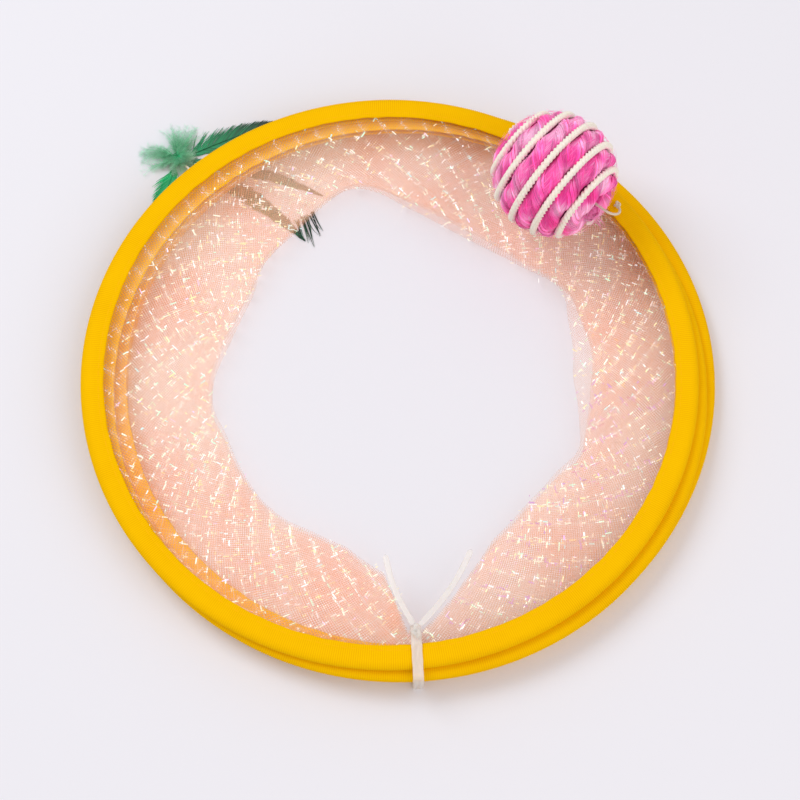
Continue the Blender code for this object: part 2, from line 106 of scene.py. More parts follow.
def add_node(tree, kind, sockets=None, stops=(), **settings):
    """One node. A socket's value is either a number or colour, or another node's output to link. The stops of a
    colour ramp are (place, hex) pairs."""
    made = tree.nodes.new(kind)
    for key, value in settings.items():
        setattr(made, key, value)
    if stops:
        points = made.color_ramp.elements
        while len(points) < len(stops):
            points.new(0.5)
        for point, (place, code) in zip(points, stops):
            point.position = place
            point.color = linear(code)
    for key, value in (sockets or {}).items():
        if isinstance(value, bpy.types.NodeSocket):
            tree.links.new(value, made.inputs[key])
        else:
            made.inputs[key].default_value = value
    return made


def new_finish(name, **sockets):
    """A material with its Principled shader's own sockets set. Returns the material, its nodes and the shader."""
    made = bpy.data.materials.new(name)
    made.use_nodes = True
    shader = made.node_tree.nodes["Principled BSDF"]
    for key, value in sockets.items():
        shader.inputs[key.replace("_", " ")].default_value = value
    return made, made.node_tree, shader


# %% [markdown]
# The table is plain and near white. The light is soft: a pale world gives half of it, a large lamp behind the
# upper left gives over a quarter, and a wider one at the lower right gives the rest. A level card gets about a
# tenth more light than would show its colour as it is written, so colours come out a little lighter.

# %% Table, world and lamps
# Rolled matt paint on board: it scatters the light evenly and shows no image of the lamps
tabletop, _, shader = new_finish("painted_table_top", Roughness=0.9, Specular_IOR_Level=0.1)
shader.inputs["Base Color"].default_value = linear("#EBECF3")
table = bpy.data.meshes.new("table")
half = 2.5
table.from_pydata([(-half, -half, 0), (half, -half, 0), (half, half, 0), (-half, half, 0)], [], [(0, 1, 2, 3)])
table.materials.append(tabletop)
floor = bpy.data.objects.new("table", table)
floor.location.z = -0.2 * MM
bpy.context.scene.collection.objects.link(floor)
print(f"table {2 * half:.0f} m wide")

world = bpy.data.worlds.new("room")
bpy.context.scene.world = world
world.use_nodes = True
sky = world.node_tree.nodes["Background"]
path = add_node(world.node_tree, "ShaderNodeLightPath")
shown = add_node(
    world.node_tree,
    "ShaderNodeMixRGB",
    {"Fac": path.outputs["Is Camera Ray"], "Color1": linear("#FAF2ED"), "Color2": linear("#F3F2F7")},
)
world.node_tree.links.new(shown.outputs["Color"], sky.inputs["Color"])
sky.inputs["Strength"].default_value = 0.62


def lamp(name, place, size, power, colour):
    """A square soft lamp that points at the middle of the stack."""
    made = bpy.data.lights.new(name, "AREA")
    made.size = size
    made.energy = power
    made.color = linear(colour)[:3]
    holder = bpy.data.objects.new(name, made)
    holder.location = place
    holder.rotation_mode = "QUATERNION"
    holder.rotation_quaternion = Vector(place).to_track_quat("Z", "Y")
    bpy.context.scene.collection.objects.link(holder)


lamp("window", (-0.88, 0.54, 1.3), 0.9, 11.0, "#F5FAFF")
lamp("front_fill", (0.9, -0.7, 1.15), 1.5, 9.0, "#FDFBFF")
bpy.context.scene.view_settings.view_transform = "Standard"
# A ray can meet a dozen sheets of cloth, tinsel and strap one behind another, so it may pass through many faces
bpy.context.scene.cycles.transparent_max_bounces = 48

# %% [markdown]
# ## From a table of points to a mesh
#
# Nearly every piece here is a surface worked out on a grid: a table of points with rows and columns, or many
# such tables at once for stitches, tinsel and barbs. One function turns the table into quads, and another
# joins such grids into one mesh, with its map of cloth coordinates in millimetres and a tint for each corner.


# %% Helpers for grids
closed_end = 1e-4  # A tube's end of this radius, in mm, is welded to one point


def grid(points, uv=None, ring=(False, False), tint=None, finish=0, flip=False):
    """Quads over points[rows, columns] or points[copies, rows, columns], in mm. Where ring is True the last row
    or column joins the first, and uv holds one more of them than points, so that its pattern runs on."""
    points = np.asarray(points, float)
    if points.ndim == 3:
        points = points[None]
        uv = None if uv is None else uv[None]
        tint = None if tint is None else tint[None]
    copies, rows, columns = points.shape[:3]
    i, j = np.meshgrid(
        np.arange(rows - (not ring[0])), np.arange(columns - (not ring[1])), indexing="ij"
    )
    turn = [(0, 0), (1, 0), (1, 1), (0, 1)][:: -1 if flip else 1]
    i = i.reshape(-1, 1) + np.array([a for a, _ in turn])
    j = j.reshape(-1, 1) + np.array([b for _, b in turn])
    first = np.arange(copies)[:, None, None] * rows * columns
    faces = (first + (i % rows * columns + j % columns)[None]).reshape(-1, 4)
    uv = np.zeros((len(faces), 4, 2)) if uv is None else uv[:, i, j].reshape(-1, 4, 2)
    if tint is None:
        tint = np.ones((len(faces), 4, 3))
    else:
        tint = tint[:, i % rows, j % columns].reshape(-1, 4, 3)
    return {"points": points.reshape(-1, 3), "faces": faces, "uv": uv, "tint": tint, "finish": finish}


def build(name, grids, finishes, weld=False):
    """One mesh object from grids of millimetre points. weld closes the ends of tubes that run to a point."""
    start = np.cumsum([0] + [len(g["points"]) for g in grids])
    faces = np.concatenate([g["faces"] + s for g, s in zip(grids, start)])
    mesh = bpy.data.meshes.new(name)
    mesh.from_pydata(np.concatenate([g["points"] for g in grids]) * MM, [], faces)
    mesh.uv_layers.new(name="cloth")
    mesh.uv_layers["cloth"].data.foreach_set("uv", np.concatenate([g["uv"] for g in grids]).ravel())
    tint = np.concatenate([g["tint"] for g in grids]).reshape(-1, 3)
    colours = mesh.color_attributes.new("tint", "FLOAT_COLOR", "CORNER")
    colours.data.foreach_set("color", np.column_stack((tint, np.ones(len(tint)))).ravel())
    order = np.concatenate([np.full(len(g["faces"]), g["finish"]) for g in grids])
    mesh.polygons.foreach_set("material_index", order.astype(np.int32))
    mesh.shade_smooth()
    for finish in finishes:
        mesh.materials.append(finish)
    if weld:
        shape = bmesh.new()
        shape.from_mesh(mesh)
        bmesh.ops.remove_doubles(shape, verts=shape.verts, dist=closed_end * MM)
        shape.to_mesh(mesh)
        shape.free()
    made = bpy.data.objects.new(name, mesh)
    bpy.context.scene.collection.objects.link(made)
    print(f"{name}: {len(mesh.polygons)} faces")
    return made


def place(piece, body, slot, *nodes):
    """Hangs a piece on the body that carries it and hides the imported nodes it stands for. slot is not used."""
    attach(piece, body)
    if nodes:
        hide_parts(*nodes)


def finish_packed(node, finish):
    """Gives a hidden piece, which stays as it is packed, its finish."""
    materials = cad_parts[node].data.materials
    materials.clear()
    materials.append(finish)


# %% [markdown]
# Three shapes come back again and again. `flowing` runs a smooth curve through a few given points. `tube`
# carries a round or lobed section along such a curve, in frames that turn as little as they can. `drift` is a
# smooth uneven line round a ring: a sum of sines with whole numbers of waves, so that it closes. Small helpers
# give a path's length so far, a ring's points and a tube's radius with shut ends.


# %% Helpers for curves
def flowing(points, count, ring=False):
    """Catmull-Rom curve: each stretch is a cubic whose slope at a point is half the step between its neighbours."""
    points = np.asarray(points, float)
    if ring:
        points = np.concatenate((points[-1:], points, points[:2]))
    else:
        points = np.concatenate((2 * points[:1] - points[1:2], points, 2 * points[-1:] - points[-2:-1]))
    stretches = len(points) - 3
    t = np.linspace(0, stretches, count, endpoint=not ring)
    k = np.minimum(t.astype(int), stretches - 1)
    t = (t - k)[:, None]
    a, b, c, d = points[k], points[k + 1], points[k + 2], points[k + 3]
    return 0.5 * (2 * b + (c - a) * t + (2 * a - 5 * b + 4 * c - d) * t**2 + (3 * b - a - 3 * c + d) * t**3)


def drift(angle, waves, seed):
    """Sum of sines round a ring, scaled to about -1 to 1, with phases and weights from a seed."""
    pick = np.random.default_rng(seed)
    total = np.zeros_like(angle)
    for count in waves:
        total += pick.uniform(0.5, 1.0) * np.sin(count * angle + pick.uniform(0, 2 * np.pi))
    return total / (0.75 * len(waves))


def unit(vectors):
    """Each vector divided by its own length."""
    return vectors / np.maximum(np.linalg.norm(vectors, axis=-1, keepdims=True), 1e-12)


def far_along(path):
    """Length of a path up to each of its points: the running sum of its steps."""
    return np.concatenate(([0.0], np.cumsum(np.linalg.norm(np.diff(path, axis=0), axis=1))))


def ringed(radius, angle, height):
    """Points (radius cos angle, radius sin angle, height) from tables that fit each other."""
    return np.stack(np.broadcast_arrays(radius * np.cos(angle), radius * np.sin(angle), height), -1)


def shut_ends(radius, count):
    """Radius of a tube at each of its points, with next to nothing at both ends, so that welding shuts them."""
    radii = np.zeros(count) + radius
    radii[[0, -1]] = closed_end
    return radii


def frames(path, up=(0.0, 0.0, 1.0)):
    """Forward, side and up along a path. The up of each point is the given one for that point, or else the last
    point's, made square to the new forward."""
    forward = unit(np.gradient(path, axis=0))
    up = np.array(up, float)
    if up.ndim == 2:
        ups = unit(up - forward * (up * forward).sum(1, keepdims=True))
        return forward, np.cross(ups, forward), ups
    ups = np.empty_like(path)
    last = up
    for k, ahead in enumerate(forward):
        last = last - ahead * (last @ ahead)
        last /= max(np.linalg.norm(last), 1e-12)
        ups[k] = last
    return forward, np.cross(ups, forward), ups


def tube(path, radius, sides, lobes=0, lobe_share=0.0, lay=1.0, widen=1.0, up=(0.0, 0.0, 1.0), **rest):
    """A section carried along a path. Its radius is the given one, more on each of its lobes, which wind round
    once in each lay of length. The map runs across the fibres one way and along them the other."""
    path = np.asarray(path, float)
    length = far_along(path)
    radius = np.broadcast_to(np.asarray(radius, float), len(path))
    _, side, above = frames(path, up)
    angle = np.linspace(0, 2 * np.pi, sides, endpoint=False)
    wound = angle[None] - 2 * np.pi * length[:, None] / lay
    grown = radius[:, None] * (1 + lobe_share * np.cos(lobes * wound)) if lobes else radius[:, None] + 0 * wound
    points = path[:, None] + (grown * np.cos(angle) * widen)[..., None] * side[:, None]
    points += (grown * np.sin(angle))[..., None] * above[:, None]
    angle = np.linspace(0, 2 * np.pi, sides + 1)
    across = (angle[None] - (2 * np.pi / lay if lobes else 0) * length[:, None]) * radius.max()
    uv = np.stack((across, np.repeat(length[:, None], sides + 1, 1)), -1)
    return grid(points, uv, (False, True), flip=True, **rest)


# %% [markdown]
# ## Sizes that the pieces share
#
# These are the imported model's own sizes: hoops of 242 mm in a 9 mm tape, slipped a little sideways over each
# other. The lowest tape is pressed in where it lies on the feathers and on the strap.

# %% Sizes of the stack
hoop_outer, tape_height, stack_pitch = 121.0, 3.9, 4.2
hoop_shifts = {1: (-4.41, 1.98), 2: (-0.72, -1.44), 3: (3.33, 4.32), 4: (2.97, 3.96)}
tie_angle, lure_angle, press_reach, press_depth = -87.0, 134.4, 26.0, 0.8
facet = 7.5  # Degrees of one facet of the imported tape
print(f"stack of {2 * hoop_outer:.0f} mm hoops, {3 * stack_pitch + tape_height:.1f} mm high")


def hoop_centre(number):
    """Middle of a hoop's underside: its sideways slip, and one pitch up for each hoop below it."""
    return np.array((*hoop_shifts[number], (4 - number) * stack_pitch))


def heading(degrees):
    """Flat unit vectors in a direction, for one angle or a table of them."""
    angle = np.radians(degrees)
    return np.stack((np.cos(angle), np.sin(angle), 0 * angle), -1)


def pressed(degrees):
    """How deep the lowest tape is pressed in at an angle: a level stretch with a ramp of one facet each side."""
    depth = 0 * degrees
    for centre, reach in ((lure_angle, press_reach), (tie_angle, 0.0)):
        off = np.abs((degrees - centre + 180) % 360 - 180) - reach
        depth = np.maximum(depth, np.clip(1 - off / facet, 0, 1))
    return depth * press_depth


# %% [markdown]
# ## Woven yellow tape
#
# The real tape is woven polyester with a rib across it about every 0.84 mm. It is folded lengthways over the
# wire and over the edges of the cloth, and stitched. A rib is worked into the mesh as a row of points that
# stands out and a row that lies back, so that it shows along the edges too, and it is deeper on the outer side,
# where the tape bends round the wire. The weave's own yarns are finer, so they are a small bump. Painted shade
# follows the ribs: the colour is painted darker on every other row of them. The dye also varies slowly along
# the tape.

# %% Finishes of the tape and its thread
# Grosgrain tape, woven of spun yarns and dyed: matt, with hardly any shine, and light catches only on its ribs.
# Its colour also carries painted shade in step with the ribs
yellow_tape, tree, shader = new_finish("woven_polyester_tape", Roughness=0.85, Specular_IOR_Level=0.04)
tape_ribs = 900
rib_pitch = 2 * np.pi * hoop_outer / tape_ribs
dye_patch = 0.06 / MM  # A patch of stronger or weaker dye is about 17 mm long
yarn_grain = 2.6 / MM  # A yarn is 0.4 mm wide
cloth = add_node(tree, "ShaderNodeUVMap", uv_map="cloth")
apart = add_node(tree, "ShaderNodeSeparateXYZ", {0: cloth.outputs["UV"]})
# Painted shade: the colour runs darker on every other row of the rib relief
rib = add_node(tree, "ShaderNodeMath", {0: apart.outputs["X"], 1: rib_pitch / 2}, operation="PINGPONG")
rib_painted_shade = add_node(tree, "ShaderNodeMath", {0: rib.outputs[0], 1: 2 / rib_pitch}, operation="MULTIPLY")
spot = add_node(tree, "ShaderNodeTexCoord")
slow = add_node(tree, "ShaderNodeTexNoise", {"Vector": spot.outputs["Object"], "Scale": dye_patch, "Detail": 3.0})
dye_and_rib_shade = add_node(
    tree, "ShaderNodeMath", {0: slow.outputs[0], 1: 0.45, 2: rib_painted_shade.outputs[0]}, operation="MULTIPLY_ADD"
)
tone = add_node(
    tree, "ShaderNodeValToRGB", {"Fac": dye_and_rib_shade.outputs[0]},
    stops=((0.0, "#DA9200"), (0.42, "#F8BB00"), (1.0, "#FAC600")),
)
tree.links.new(tone.outputs["Color"], shader.inputs["Base Color"])
yarn = add_node(tree, "ShaderNodeTexNoise", {"Vector": spot.outputs["Object"], "Scale": yarn_grain, "Detail": 2.0})
bump = add_node(tree, "ShaderNodeBump", {"Strength": 0.35, "Distance": 0.15 * MM, "Height": yarn.outputs[0]})
tree.links.new(bump.outputs["Normal"], shader.inputs["Normal"])

# Sewing thread, spun and dyed to match the tape: smoother, so a stitch shines a little more than the weave
yellow_thread, _, shader = new_finish("spun_polyester_thread", Roughness=0.7, Specular_IOR_Level=0.15)
shader.inputs["Base Color"].default_value = linear("#FFC200")
print(f"ribs {rib_pitch:.2f} mm apart")

# %% [markdown]
# The section is a hairpin: a soft top with a shallow groove where the seam pulls it down, a round outer edge
# over the wire, and the same below. Carried round the hoop, it swells and draws in a little between stitches.
# A stitch is a short rounded bar that lies in the groove.


# %% The tapes
# Radius and height: the outer face's upper half, from inside the lip to the outermost point, and the inner face
upper_face = np.array([
    (112.3, 3.15), (111.9, 3.42), (112.1, 3.76), (113.0, 3.84), (113.9, 3.72), (114.9, 3.82),
    (116.6, 3.92), (118.2, 3.88), (119.6, 3.5), (120.6, 2.8), (121.0, 1.95),
])
inner_face = np.array([
    (114.5, 0.86), (118.0, 0.92), (119.6, 1.35), (120.0, 1.95), (119.6, 2.55), (118.0, 2.98), (114.5, 3.04),
])
outer_share = 0.78  # Share of the section's points that lie on the outer face
half_tape = tape_height / 2
stitch_radius, stitch_height = 113.9, 1.74  # Of the seam: its circle, and how far it lies from the tape's middle


def make_tape(number):
    """The hairpin section carried round the hoop. Each point moves along its own outward normal by the ribs, which
    alternate, and by a slow swell. The lip drifts in and out, and the lowest tape's underside is pressed in."""
    lower_face = upper_face[-2::-1] * (1, -1) + (0, tape_height)
    section = flowing(np.concatenate((upper_face, lower_face, inner_face)), 36, ring=True)
    radius, height = section[:, 0], section[:, 1]
    slope = np.roll(section, -1, 0) - np.roll(section, 1, 0)
    out = unit(np.stack((slope[:, 1], -slope[:, 0]), -1))
    outer = np.arange(len(section)) < outer_share * len(section)
    angle = np.linspace(0, 2 * np.pi, 2 * tape_ribs, endpoint=False)[:, None]
    deep = 0.06 + 0.07 * np.clip((radius - 118.6) / 1.4, 0, 1)
    raised = np.where(np.arange(2 * tape_ribs) % 2 == 0, 1, -1)[:, None] * deep * outer
    swell = 0.10 * drift(angle, range(50, 110, 7), number) * (np.abs(height - half_tape) > 1.2) * outer
    lip = np.clip((113.8 - radius) / 2, 0, 1)
    r = radius + out[:, 0] * (raised + swell) + 0.35 * lip * drift(angle, range(20, 90, 6), 10 + number)
    z = height + out[:, 1] * (raised + swell)
    if number == 4:
        z = z + np.clip((half_tape - height) / 1.2, 0, 1) * pressed(np.degrees(angle))
    else:
        z = np.clip(z, 0.0, tape_height)
    across = far_along(np.concatenate((section, section[:1])))
    along = np.linspace(0, 2 * np.pi * hoop_outer, 2 * tape_ribs + 1)
    uv = np.stack(np.meshgrid(along, across, indexing="ij"), -1)
    return grid(ringed(r, angle, z) + hoop_centre(number), uv, (True, True), flip=True)


def make_stitches(number):
    """Lockstitch on both faces of the tape: short rounded bars end to end along a circle, lower at their ends."""
    count, length, thick = 216, 2.7, 0.17
    centre = np.repeat(np.linspace(0, 2 * np.pi, count, endpoint=False)[:, None], 2, 1).T.ravel()
    above = np.repeat((1, -1), count)
    along = np.array((-1, -0.93, -0.5, 0.5, 0.93, 1)) * length / 2
    full = np.array((0, 0.75, 1, 1, 0.75, 0)) * thick
    around = np.linspace(0, 2 * np.pi, 6, endpoint=False)
    angle = centre[:, None, None] + along[None, :, None] / stitch_radius
    radius = stitch_radius + full[None, :, None] * np.cos(around)
    dip = 0.10 * (along / along.max()) ** 2
    height = half_tape + above[:, None, None] * (stitch_height - dip[None, :, None])
    height = height + full[None, :, None] * np.sin(around)
    if number == 4:
        height = height + (above < 0)[:, None, None] * pressed(np.degrees(angle))
    return grid(ringed(radius, angle, height) + hoop_centre(number), ring=(False, True), finish=1)


for number in (1, 2, 3, 4):
    tape = build(
        f"tape_{number}", [make_tape(number), make_stitches(number)], [yellow_tape, yellow_thread], weld=True
    )
    place(tape, f"hoop_{number}", "yellow_tape", f"hoop_{number}_binding")

# %% [markdown]
# In each tape lies a ring of spring wire, its two ends joined in a crimped sleeve. They are hidden and keep the
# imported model's own shape. Wire is drawn through a die, so its grain is long and its shine is clean.

# %% Finish of the wires and ferrules
# Bright drawn steel: a clear metal shine with faint darker scores
steel, tree, shader = new_finish("drawn_spring_steel", Metallic=1.0, Roughness=0.32)
score_grain = 0.9 / MM  # A score is about 1 mm long, which is coarser than real, so that it can show
spot = add_node(tree, "ShaderNodeTexCoord")
score = add_node(tree, "ShaderNodeTexNoise", {"Vector": spot.outputs["Object"], "Scale": score_grain})
tone = add_node(tree, "ShaderNodeValToRGB", {"Fac": score.outputs[0]}, stops=((0.3, "#8E9094"), (0.7, "#B9BBBF")))
tree.links.new(tone.outputs["Color"], shader.inputs["Base Color"])
for number in (1, 2, 3, 4):
    for kind in ("wire", "ferrule"):
        finish_packed(f"hoop_{number}_{kind}", steel)
print("steel on the wires and ferrules of 4 hoops")

# %% [markdown]
# ## Sheer cloth with tinsel
#
# The cloth is a thin open weave of peach polyester, with a tinsel thread among the others every 8.9 mm each
# way. Where two tinsel threads cross they float on the face, and that is the little bright cross. Light goes
# between the threads, so the finish is a weave of opacity: the threads are partly clear and the gaps are fully
# clear. The layers below then show through, darker and denser where more of them lie on each other. The sheets
# hardly shade each other, because light also reaches them from the sides, so a shadow counts for little here.

# %% Finish of the cloth
# Sheer polyester, open-woven of smooth dyed yarn: soft, half clear, with a faint sheen where it turns away
sheer, tree, shader = new_finish(
    "sheer_woven_polyester", Roughness=0.5, Sheen_Weight=0.15, Specular_IOR_Level=0.35
)
thread_pitch = 0.8886  # Real threads are finer than the picture can show, so ten are drawn to each tinsel thread
tinsel_pitch = 10 * thread_pitch
cloud_grain = 0.028 / MM  # A paler or deeper cloud of dye is about 36 mm wide
thread_cover, tinsel_cover, shadow_share = 0.5, 0.42, 0.06
cloth = add_node(tree, "ShaderNodeUVMap", uv_map="cloth")
apart = add_node(tree, "ShaderNodeSeparateXYZ", {0: cloth.outputs["UV"]})


def line_cover(tree, coordinate, pitch, width, rest=0.0):
    """1 on a thread and rest beside it, from the distance to the nearest multiple of the pitch."""
    near = add_node(tree, "ShaderNodeMath", {0: coordinate, 1: pitch / 2}, operation="PINGPONG")
    made = add_node(
        tree,
        "ShaderNodeMapRange",
        {
            "Value": near.outputs[0], "From Min": width * 0.35, "From Max": width * 0.65,
            "To Min": 1.0, "To Max": rest,
        },
    )
    return made.outputs["Result"]


warp_and_weft = [
    line_cover(tree, apart.outputs[way], thread_pitch, width) for way, width in (("X", 0.12), ("Y", 0.10))
]
threads = add_node(tree, "ShaderNodeMath", {0: warp_and_weft[0], 1: warp_and_weft[1]}, operation="MAXIMUM")
near_cross = [line_cover(tree, apart.outputs[way], tinsel_pitch, 4.6, 0.4) for way in ("Y", "X")]
tinsel_each_way = [
    add_node(
        tree, "ShaderNodeMath", {0: line_cover(tree, apart.outputs[way], tinsel_pitch, 0.18), 1: near},
        operation="MULTIPLY",
    )
    for way, near in zip(("X", "Y"), near_cross)
]
tinsel_lines = add_node(
    tree, "ShaderNodeMath", {0: tinsel_each_way[0].outputs[0], 1: tinsel_each_way[1].outputs[0]},
    operation="MAXIMUM",
)
spot = add_node(tree, "ShaderNodeTexCoord")
cloud = add_node(
    tree, "ShaderNodeTexNoise", {"Vector": spot.outputs["Object"], "Scale": cloud_grain, "Detail": 2.0}
)
peach = add_node(
    tree, "ShaderNodeValToRGB", {"Fac": cloud.outputs[0]}, stops=((0.35, "#FFB385"), (0.65, "#FFD0B0"))
)
coloured = add_node(
    tree,
    "ShaderNodeMixRGB",
    {"Fac": tinsel_lines.outputs[0], "Color1": peach.outputs["Color"], "Color2": linear("#FFF3E6")},
)
tree.links.new(coloured.outputs["Color"], shader.inputs["Base Color"])
thin = add_node(tree, "ShaderNodeMath", {0: threads.outputs[0], 1: thread_cover}, operation="MULTIPLY")
bright = add_node(tree, "ShaderNodeMath", {0: tinsel_lines.outputs[0], 1: tinsel_cover}, operation="MULTIPLY")
cover = add_node(tree, "ShaderNodeMath", {0: thin.outputs[0], 1: bright.outputs[0]}, operation="MAXIMUM")
ray = add_node(tree, "ShaderNodeLightPath")
passed = add_node(
    tree, "ShaderNodeMath", {0: ray.outputs["Is Shadow Ray"], 1: shadow_share - 1, 2: 1.0},
    operation="MULTIPLY_ADD",
)
covered = add_node(tree, "ShaderNodeMath", {0: cover.outputs[0], 1: passed.outputs[0]}, operation="MULTIPLY")
tree.links.new(covered.outputs[0], shader.inputs["Alpha"])

# Slit plastic film with a thin mirror coat: each bit shows one clear tint. Its weak glow is a painted reflection:
# it stands for the lamps' mirror image, which a real flat bit catches and a small strip in the render mostly misses
tinsel, tree, shader = new_finish("iridescent_tinsel_film", Roughness=0.22, Metallic=0.15, Emission_Strength=0.2)
film = add_node(tree, "ShaderNodeAttribute", attribute_name="tint")
tree.links.new(film.outputs["Color"], shader.inputs["Base Color"])
# The tint also colours the glow of the painted reflection
tree.links.new(film.outputs["Color"], shader.inputs["Emission Color"])
print(f"threads {thread_pitch:.2f} mm apart, tinsel {tinsel_pitch:.1f} mm")

# %% [markdown]
# Each bay of cloth goes from one hoop in to a fold and back out to the next. The fold's line round the opening
# is not a circle: it has corners, and at the front the strap pulls it out to the hoops in a sharp notch. The
# line is read from listed shares of the hoop's radius. The three bays don't fold at quite the same line, so
# the cloth is thinner near the opening, most of all on the right.

# %% The fold's line
fold_shares = (
    (0.0, 0.850), (1.6, 0.850), (5.7, 0.800), (13.5, 0.712), (23.9, 0.627), (39.1, 0.590), (54.0, 0.594),
    (62.7, 0.630), (70.8, 0.597), (86.4, 0.557), (107.8, 0.586), (115.4, 0.618), (121.7, 0.610),
    (132.2, 0.575), (143.4, 0.567), (152.8, 0.572), (161.7, 0.589), (168.6, 0.614), (176.7, 0.647),
    (182.2, 0.694), (190.1, 0.730), (200.0, 0.688), (206.9, 0.655), (212.3, 0.639), (226.2, 0.619),
    (233.4, 0.582), (245.5, 0.578), (254.5, 0.584), (265.9, 0.610), (278.2, 0.618), (286.5, 0.595),
    (301.0, 0.604), (311.0, 0.614), (320.3, 0.612), (328.7, 0.598), (340.5, 0.605), (352.5, 0.668),
    (355.4, 0.745), (358.4, 0.850), (360.0, 0.850),
)
# The lower bays stay back from that line: by a slow wave, and by more on the right, where one sheet shows alone
fold_waves = {1: (0.0, 2), 2: (0.014, 3), 3: (0.011, 4)}
fold_slacks = {1: 0.0, 2: 0.070, 3: 0.062}
slack_angle, slack_reach = 92.0, 22.0
fold_heights = {1: 10.2, 2: 6.8, 3: 3.2}
seam_radius = 115.5
seam_heights = {1: 1.45, -1: 2.45}  # Above its own hoop's underside, for the upper sheet and the lower one


def fold_radius(bay, degrees):
    """Radius of a bay's fold at an angle: the shared line with its corners eased, plus what the bay stays back."""
    on = (degrees - tie_angle) % 360
    ease = 3.0 * np.clip(np.sin(np.radians(on) / 2) * 8 - 1, 0, 1)
    line = sum(np.interp((on + ease * k) % 360, *np.array(fold_shares).T) for k in (-1, -0.5, 0, 0.5, 1)) / 5
    share, waves = fold_waves[bay]
    back = share * (1 + np.sin(np.radians(on) * waves)) * np.sin(np.radians(on) / 2) ** 2
    back = back + fold_slacks[bay] * np.exp(-(((on - slack_angle) / slack_reach) ** 2))
    return hoop_outer * (line + back)


for bay in (1, 2, 3):
    print(f"bay {bay} folds {fold_radius(bay, np.arange(360.0)).mean():.0f} mm from the middle")

# %% [markdown]
# A point of the folded cloth is found from its angle and its radius. Its height runs from the seam, in the
# mouth of a tape, down to the fold, and soft creases run both ways across it. The threads lie at 45 degrees to
# the radius all the way round, because the bays twist as they fold. The map that keeps that angle is the one
# with the angle on one axis and the logarithm of the radius on the other, turned by an eighth of a turn.

# %% Creases, heights and the map of the folded cloth
crossings_round = 50
map_radius = crossings_round * tinsel_pitch * math.sqrt(2) / (2 * np.pi)


def cloth_map(radians, radius, shift=0.0):
    """Cloth coordinates in mm: the angle and the logarithm of the radius, turned by an eighth of a turn."""
    around = radians * map_radius
    inward = map_radius * np.log(radius / map_radius)
    return np.stack(((around + inward) / math.sqrt(2) + shift, (around - inward) / math.sqrt(2)), -1)


def creases(where, seed, count):
    """Narrow ridges and hollows across one map direction, at random places in its whole period."""
    pick = np.random.default_rng(seed)
    period = crossings_round * tinsel_pitch
    total = np.zeros_like(where)
    for _ in range(count):
        off = (where - pick.uniform(0, period) + period / 2) % period - period / 2
        total += pick.uniform(-1, 1) * np.exp(-((off / pick.uniform(1.2, 4.5)) ** 2))
    return total


def cloth_height(bay, side, radians, radius):
    """Height of a bay's upper sheet (side 1) or lower sheet (side -1): from the seam to the fold by the share of
    the way in, and creases and soft waves on that, which die out at both ends."""
    degrees = np.degrees(radians)
    fold = fold_radius(bay, degrees)
    share = np.clip((seam_radius - radius) / (seam_radius - fold), 0, 1)
    seam = hoop_centre(bay if side > 0 else bay + 1)[2] + seam_heights[side]
    gap = 0.35 * side
    base = seam + (fold_heights[bay] + gap - seam) * share**1.25
    p, q = np.moveaxis(cloth_map(radians, radius), -1, 0)
    crease = 0.55 * creases(p, 30 + bay, 46) + 0.45 * creases(q, 40 + bay, 40)
    soft = 0.5 * drift(radians, (5, 7, 11, 16), 50 + bay) + 0.35 * drift(radians, (23, 31), 60 + bay)
    return base + (crease + soft) * np.sin(np.pi * share**0.8) * 0.9


def cloth_place(bay, side, radians, radius):
    """Point of a sheet. Its hoop's sideways slip fades away towards the fold, which both sheets share."""
    fold = fold_radius(bay, np.degrees(radians))
    share = np.clip((radius - fold) / (seam_radius - fold), 0, 1)[..., None]
    hoop = hoop_centre(bay if side > 0 else bay + 1)
    flat = (hoop * share)[..., :2]
    x = radius * np.cos(radians) + flat[..., 0]
    y = radius * np.sin(radians) + flat[..., 1]
    return np.stack((x, y, cloth_height(bay, side, radians, radius)), -1)


# %% [markdown]
# When the tunnel opens, the folded part of a bay has to go back to the hoop from all sides. Each bay is made as
# twelve sectors, each carried by the lower hoop of its bay. The crosses of
# tinsel are small strips in the same mesh, so they go with the cloth. Their tints are those of a film that
# shows white, mint, rose or straw by the angle at which it is seen.

# %% Tinsel crosses on the folded cloth
film_tints = np.array([linear(c)[:3] for c in ("#FFFFFF", "#FFFBE6", "#DDFBE0", "#F9D7F3", "#FFF4BC", "#D0F5F2")])
film_odds = (0.28, 0.36, 0.15, 0.03, 0.14, 0.04)
violet_reflection_tint = linear("#D3A0D2")[:3]
# Each kind of dash: the share of the crossings that has one, its distance from them, its range of length and
# its range of width
dashes = (
    (0.56, 0.3, 1.1, 2.8, 0.32, 0.56),
    (0.48, 1.8, 0.6, 1.6, 0.30, 0.50),
    (0.26, 4.2, 0.6, 1.9, 0.18, 0.34),
)


